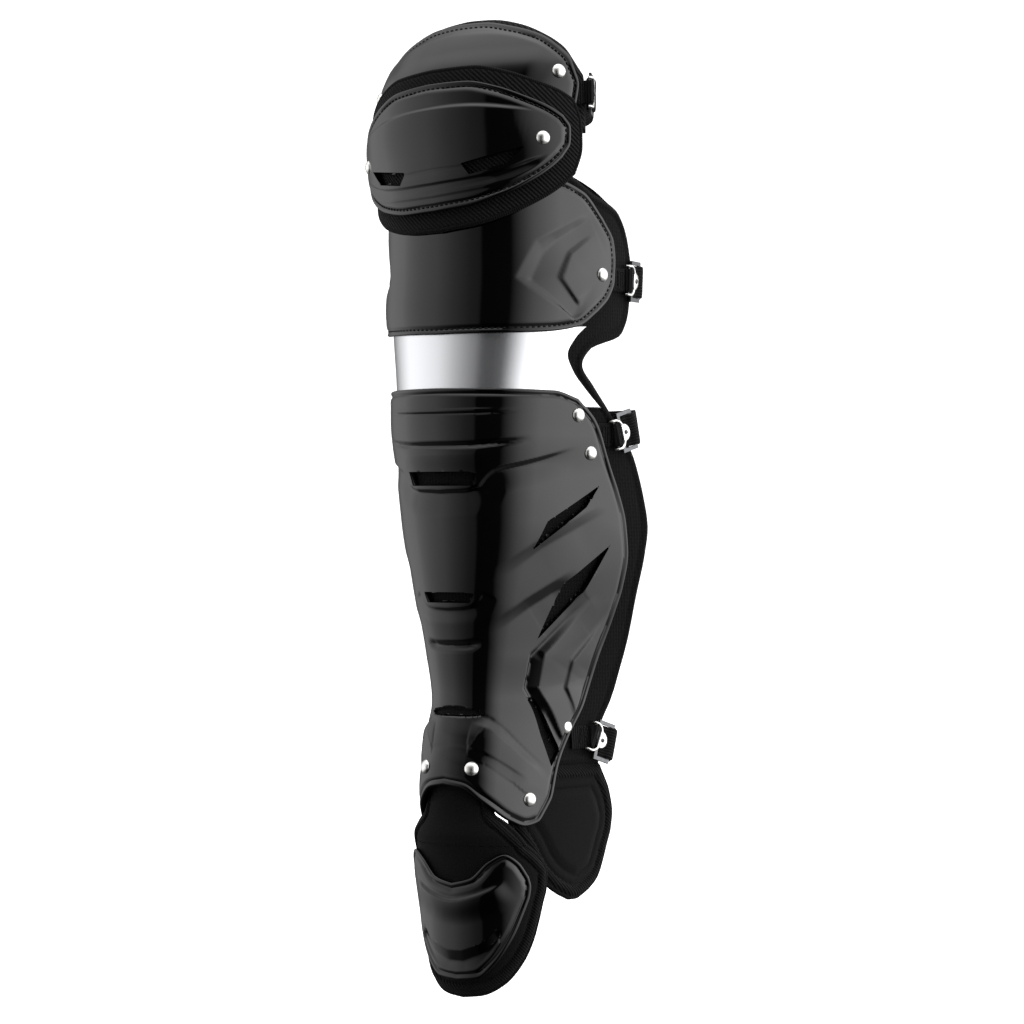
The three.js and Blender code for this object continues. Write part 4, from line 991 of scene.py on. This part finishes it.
def buildStrap(name, row):
    f = fitting
    place = slideFrame(row)
    rail = f["slideStart"] + f["slideLength"] - f["slideRail"] / 2
    ring = f["slideRail"] / 2 + gap + f["strapThick"] / 2
    turnAt = max(row["edge"] - row["bar"] + 1.8, rail + 3.3)
    corner = inFrame(place, [[turnAt, 0, 0]])[0]
    lead = np.linspace(rail + ring, turnAt, 4)
    straight = inFrame(place, np.stack([lead, 0 * lead, 0 * lead], -1))
    angle = np.linspace(0, math.pi, 60)
    back = corner[1] + row["reach"] * np.abs(np.sin(angle)) ** row["square"]
    behind = np.stack([corner[0] * np.cos(angle), back, corner[2] + 0 * angle], -1)
    laid = np.linspace(-row["edge"] - 3, -row["root"] + 6, 12)
    inner = onForm(row["form"], laid, row["z"] + 0 * laid, -f["webThick"] / 2 + 0 * laid)
    path = evenly(np.concatenate([straight, behind[1:], inner[1:]]), 3.0, closed=False)
    soft = path.copy()
    for _ in range(3):  # elastic takes no hard corner
        soft[1:-1] = (soft[:-2] + 2 * soft[1:-1] + soft[2:]) / 4
    wide = np.tile([0.0, 0.0, 1.0], (len(soft), 1))
    ease = ramp(np.arange(len(soft)) / 6)[:, None]
    wide = wide * ease + place[2] * (1 - ease)
    parts = [ribbon(soft, wide, f["strapWidth"], f["strapThick"])]
    # the end comes up through the slide, under the hook's plate, over the outer rail and back onto the strap
    loop = [(rail + 3.3, -1.5), (rail + 1.2, -2.1), (rail - 3, -2.3), (rail - 6.6, -2.3), (rail - 8.3, -1.9),
            (rail - 8.8, -1.1), (rail - 8, -0.45), (rail - 6, -0.25), (rail - 4, 0.1), (rail - 2.6, 1.2),
            (rail - 1, 2.0), (rail + 0.8, 2.05), (rail + 2.2, 1.5), (rail + 3.2, 0.7)]
    fold = evenly(smoothPath(loop, 2), 0.8, closed=False)
    fold = np.stack([fold[:, 0], 0 * fold[:, 0], fold[:, 1]], -1)
    parts.append(ribbon(inFrame(place, fold), np.tile(place[2], (len(fold), 1)),
                        f["slideHeight"] - 2 * f["slideRail"] - 0.8, f["strapThick"] - 0.1))
    length = np.linalg.norm(np.diff(soft, axis=0), axis=1).sum()
    obj = makeObject("elastic_strap_" + name, parts, [elasticWeb], smooth=50)
    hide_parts("strap_" + name)
    return length


def buildHook(name, row):
    f = fitting
    place = buckleFrame(row)
    foot, radius, bottom = 4.2, f["hookPlate"] / 2, f["slideThick"] / 2 + gap
    outline = [(foot, radius), (foot, -radius)]
    outline += [(foot + 1.4 + radius * math.cos(t), radius * math.sin(t))
                for t in np.linspace(-math.pi / 2, math.pi / 2, 25)]
    outline = evenly(np.array(outline), 0.7)
    toward, m = unit(outline.mean(0) - outline), len(outline)
    face = bottom + f["hookThick"]
    # inset and height of the plate's rounded edge
    levels = [(0.35, bottom), (0, bottom + 0.3), (0, face - 0.4), (0.4, face), (1.6, face + 0.12)]
    verts = [(a, b, h) for inset, h in levels for a, b in outline + toward * inset]
    parts = [{"verts": inFrame(place, verts), "faces": ringFaces(len(levels), m) + capFaces(len(levels), m)}]
    over = f["barRadius"] + f["clawRadius"] + gap
    for side in (1, -1):
        knots = np.array([
            (foot + 1.6, side * (radius - 1.6), bottom + f["hookThick"] / 2),
            (foot - 0.3, side * (radius + 1.8), over - 0.1),
            (0.9, side * (f["barReach"] / 2 - 0.8), over + 0.1),
            (-1.7, side * (f["barReach"] / 2 - 0.9), over - 0.9),
            (-f["barRadius"] - f["clawRadius"] - gap - 0.1, side * (f["barReach"] / 2 - 0.9), -0.4),
        ])
        t = np.linspace(0, 4, 33)
        line = np.stack([np.interp(t, range(5), knots[:, k]) for k in range(3)], -1)
        for _ in range(6):
            line[1:-1] = (line[:-2] + 2 * line[1:-1] + line[2:]) / 4
        parts.append(sweep(inFrame(place, line), f["clawRadius"], 12))
    head = [(0, 0), (1.5, 0), (1.5, 0.3), (1.1, 0.75), (0.5, 0.95), (0.45, 0.5), (0, 0.45)]  # its rivet
    at, n = (foot + 2.8, 0, face + 0.1), 20
    parts.append({"verts": inFrame(place, spun(head, n) + at), "faces": ringFaces(len(head), n),
                  "material": 1})
    obj = makeObject("hook_and_claws_" + name, parts, [nickelPlate, satinSteel], smooth=50)
    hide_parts("hook_" + name)


for name, values in buckles.items():
    row = dict(zip(buckleColumns, values))
    buildTab(name, row)
    length = buildStrap(name, row)
    buildHook(name, row)
    print("buckle", name, "strap length mm", round(length))
    for kind in ("slide_", "bar_"):  # these keep their own mesh, with softened edges
        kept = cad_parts[kind + name]
        kept.data.materials.clear()
        kept.data.materials.append(satinSteel)
        bevel = kept.modifiers.new("softened edges", "BEVEL")
        bevel.width, bevel.segments, bevel.limit_method = 0.45 * mm, 3, "ANGLE"
        smoothing = kept.modifiers.new("smooth faces", "WEIGHTED_NORMAL")
        smoothing.keep_sharp = True

# studio, in metres
view = {"azimuth": 33.0, "away": 2.2, "height": -0.23865, "aside": 0.01097, "lens": 119.9}
a = math.radians(view["azimuth"])
cameraData = bpy.data.cameras.new("camera")
cameraData.lens, cameraData.sensor_width = view["lens"], 36
camera = bpy.data.objects.new("camera", cameraData)
camera.location = (view["away"] * math.sin(a) + view["aside"] * math.cos(a),
                   -view["away"] * math.cos(a) + view["aside"] * math.sin(a), view["height"])
camera.rotation_euler = (math.pi / 2, 0, a)
bpy.context.scene.collection.objects.link(camera)
bpy.context.scene.camera = camera

world = bpy.data.worlds.new("studio")
bpy.context.scene.world = world
world.use_nodes = True
tree = world.node_tree
tree.nodes.clear()
toward = node(tree, "TexCoord")
turned = node(tree, "VectorRotate", links={"Vector": toward.outputs["Generated"]},
              inputs={"Angle": -a, "Axis": (0, 0, 1)}, rotation_type="AXIS_ANGLE")
split = node(tree, "SeparateXYZ", links={"Vector": turned.outputs[0]})
backward = node(tree, "Math", {0: split.outputs["Y"]}, {1: -1.0}, operation="MULTIPLY")
bearing = node(tree, "Math", {0: split.outputs["X"], 1: backward.outputs[0]}, operation="ARCTAN2")
share = node(tree, "MapRange", {"Value": bearing.outputs[0]}, {"From Min": -math.pi, "From Max": math.pi})
# radiance by bearing from the camera: two tall soft boxes and a dark gap between them
softBoxes = [(-180, 0.08), (-158, 0.25), (-136, 0.85), (-116, 1.4), (-96, 1.3), (-68, 1.05), (-48, 0.58),
             (-30, 0.28), (-20, 0.2), (-17.5, 0.02), (11, 0.03), (24, 0.75), (36, 1.6), (50, 2.25), (66, 2.9),
             (96, 2.9), (120, 1.6), (145, 0.6), (180, 0.08)]
# how high the soft boxes reach, and the light overhead, by height from straight down (0) to straight up (1)
above = [(0.0, 0.05), (0.21, 0.12), (0.32, 0.6), (0.43, 1.0), (0.66, 0.95), (0.79, 0.55), (0.89, 0.25),
         (1.0, 0.0)]
overhead = [(0.7, 0.0), (0.82, 0.5), (0.885, 1.0), (0.935, 1.5), (0.985, 1.9), (1.0, 2.0)]
brightest = 3.0


def lightRamp(factor, stops, most):
    made = node(tree, "ValToRGB", {"Fac": factor})
    while len(made.color_ramp.elements) < len(stops):
        made.color_ramp.elements.new(0.5)
    for stop, (at, light) in zip(made.color_ramp.elements, stops):
        stop.position = at
        stop.color = (light / most, light / most, light / most, 1)
    return made.outputs[0]


def blended(kind, first, second):
    made = node(tree, "Mix", {6: first, 7: second}, {0: 1.0}, data_type="RGBA", blend_type=kind)
    return made.outputs[2]


height = node(tree, "MapRange", {"Value": split.outputs["Z"]}, {"From Min": -1.0, "From Max": 1.0}).outputs[0]
turns = [(degrees / 360 + 0.5, light) for degrees, light in softBoxes]
around = lightRamp(share.outputs[0], turns, brightest)
sides = blended("MULTIPLY", around, lightRamp(height, above, 1))
whole = blended("ADD", sides, lightRamp(height, overhead, brightest))
background = node(tree, "Background", {"Color": whole}, {"Strength": brightest})
node(tree, "OutputWorld", {"Surface": background.outputs[0]})

# plain paper that glows a little, so that it stays white behind the guard
paper, _, _ = newMaterial("white studio paper", Roughness=0.9, **{
    "Base Color": linear("#f4f4f4"), "Emission Color": linear("#ffffff"), "Emission Strength": 0.85})


def studioSheet(name, profile, n, faces):
    mesh = bpy.data.meshes.new(name)
    mesh.from_pydata(spun(profile, n).tolist(), [], faces)
    mesh.materials.append(paper)
    sheet = bpy.data.objects.new(name, mesh)
    bpy.context.scene.collection.objects.link(sheet)
    for ray in ("glossy", "diffuse", "shadow", "transmission"):  # seen by the camera alone
        setattr(sheet, "visible_" + ray, False)
    return sheet


room, floorLevel, floorSides, domeRings, domeSides = 6, -0.6, 64, 24, 48
floor = studioSheet("floor", [(room, floorLevel)], floorSides, [tuple(range(floorSides))])
tilts = [math.pi * i / domeRings - math.pi / 2 for i in range(domeRings + 1)]
backdrop = studioSheet("backdrop", [(room * math.cos(e), room * math.sin(e)) for e in tilts], domeSides,
                       ringFaces(domeRings + 1, domeSides))

bpy.context.scene.view_settings.view_transform = "Standard"
print("studio made")
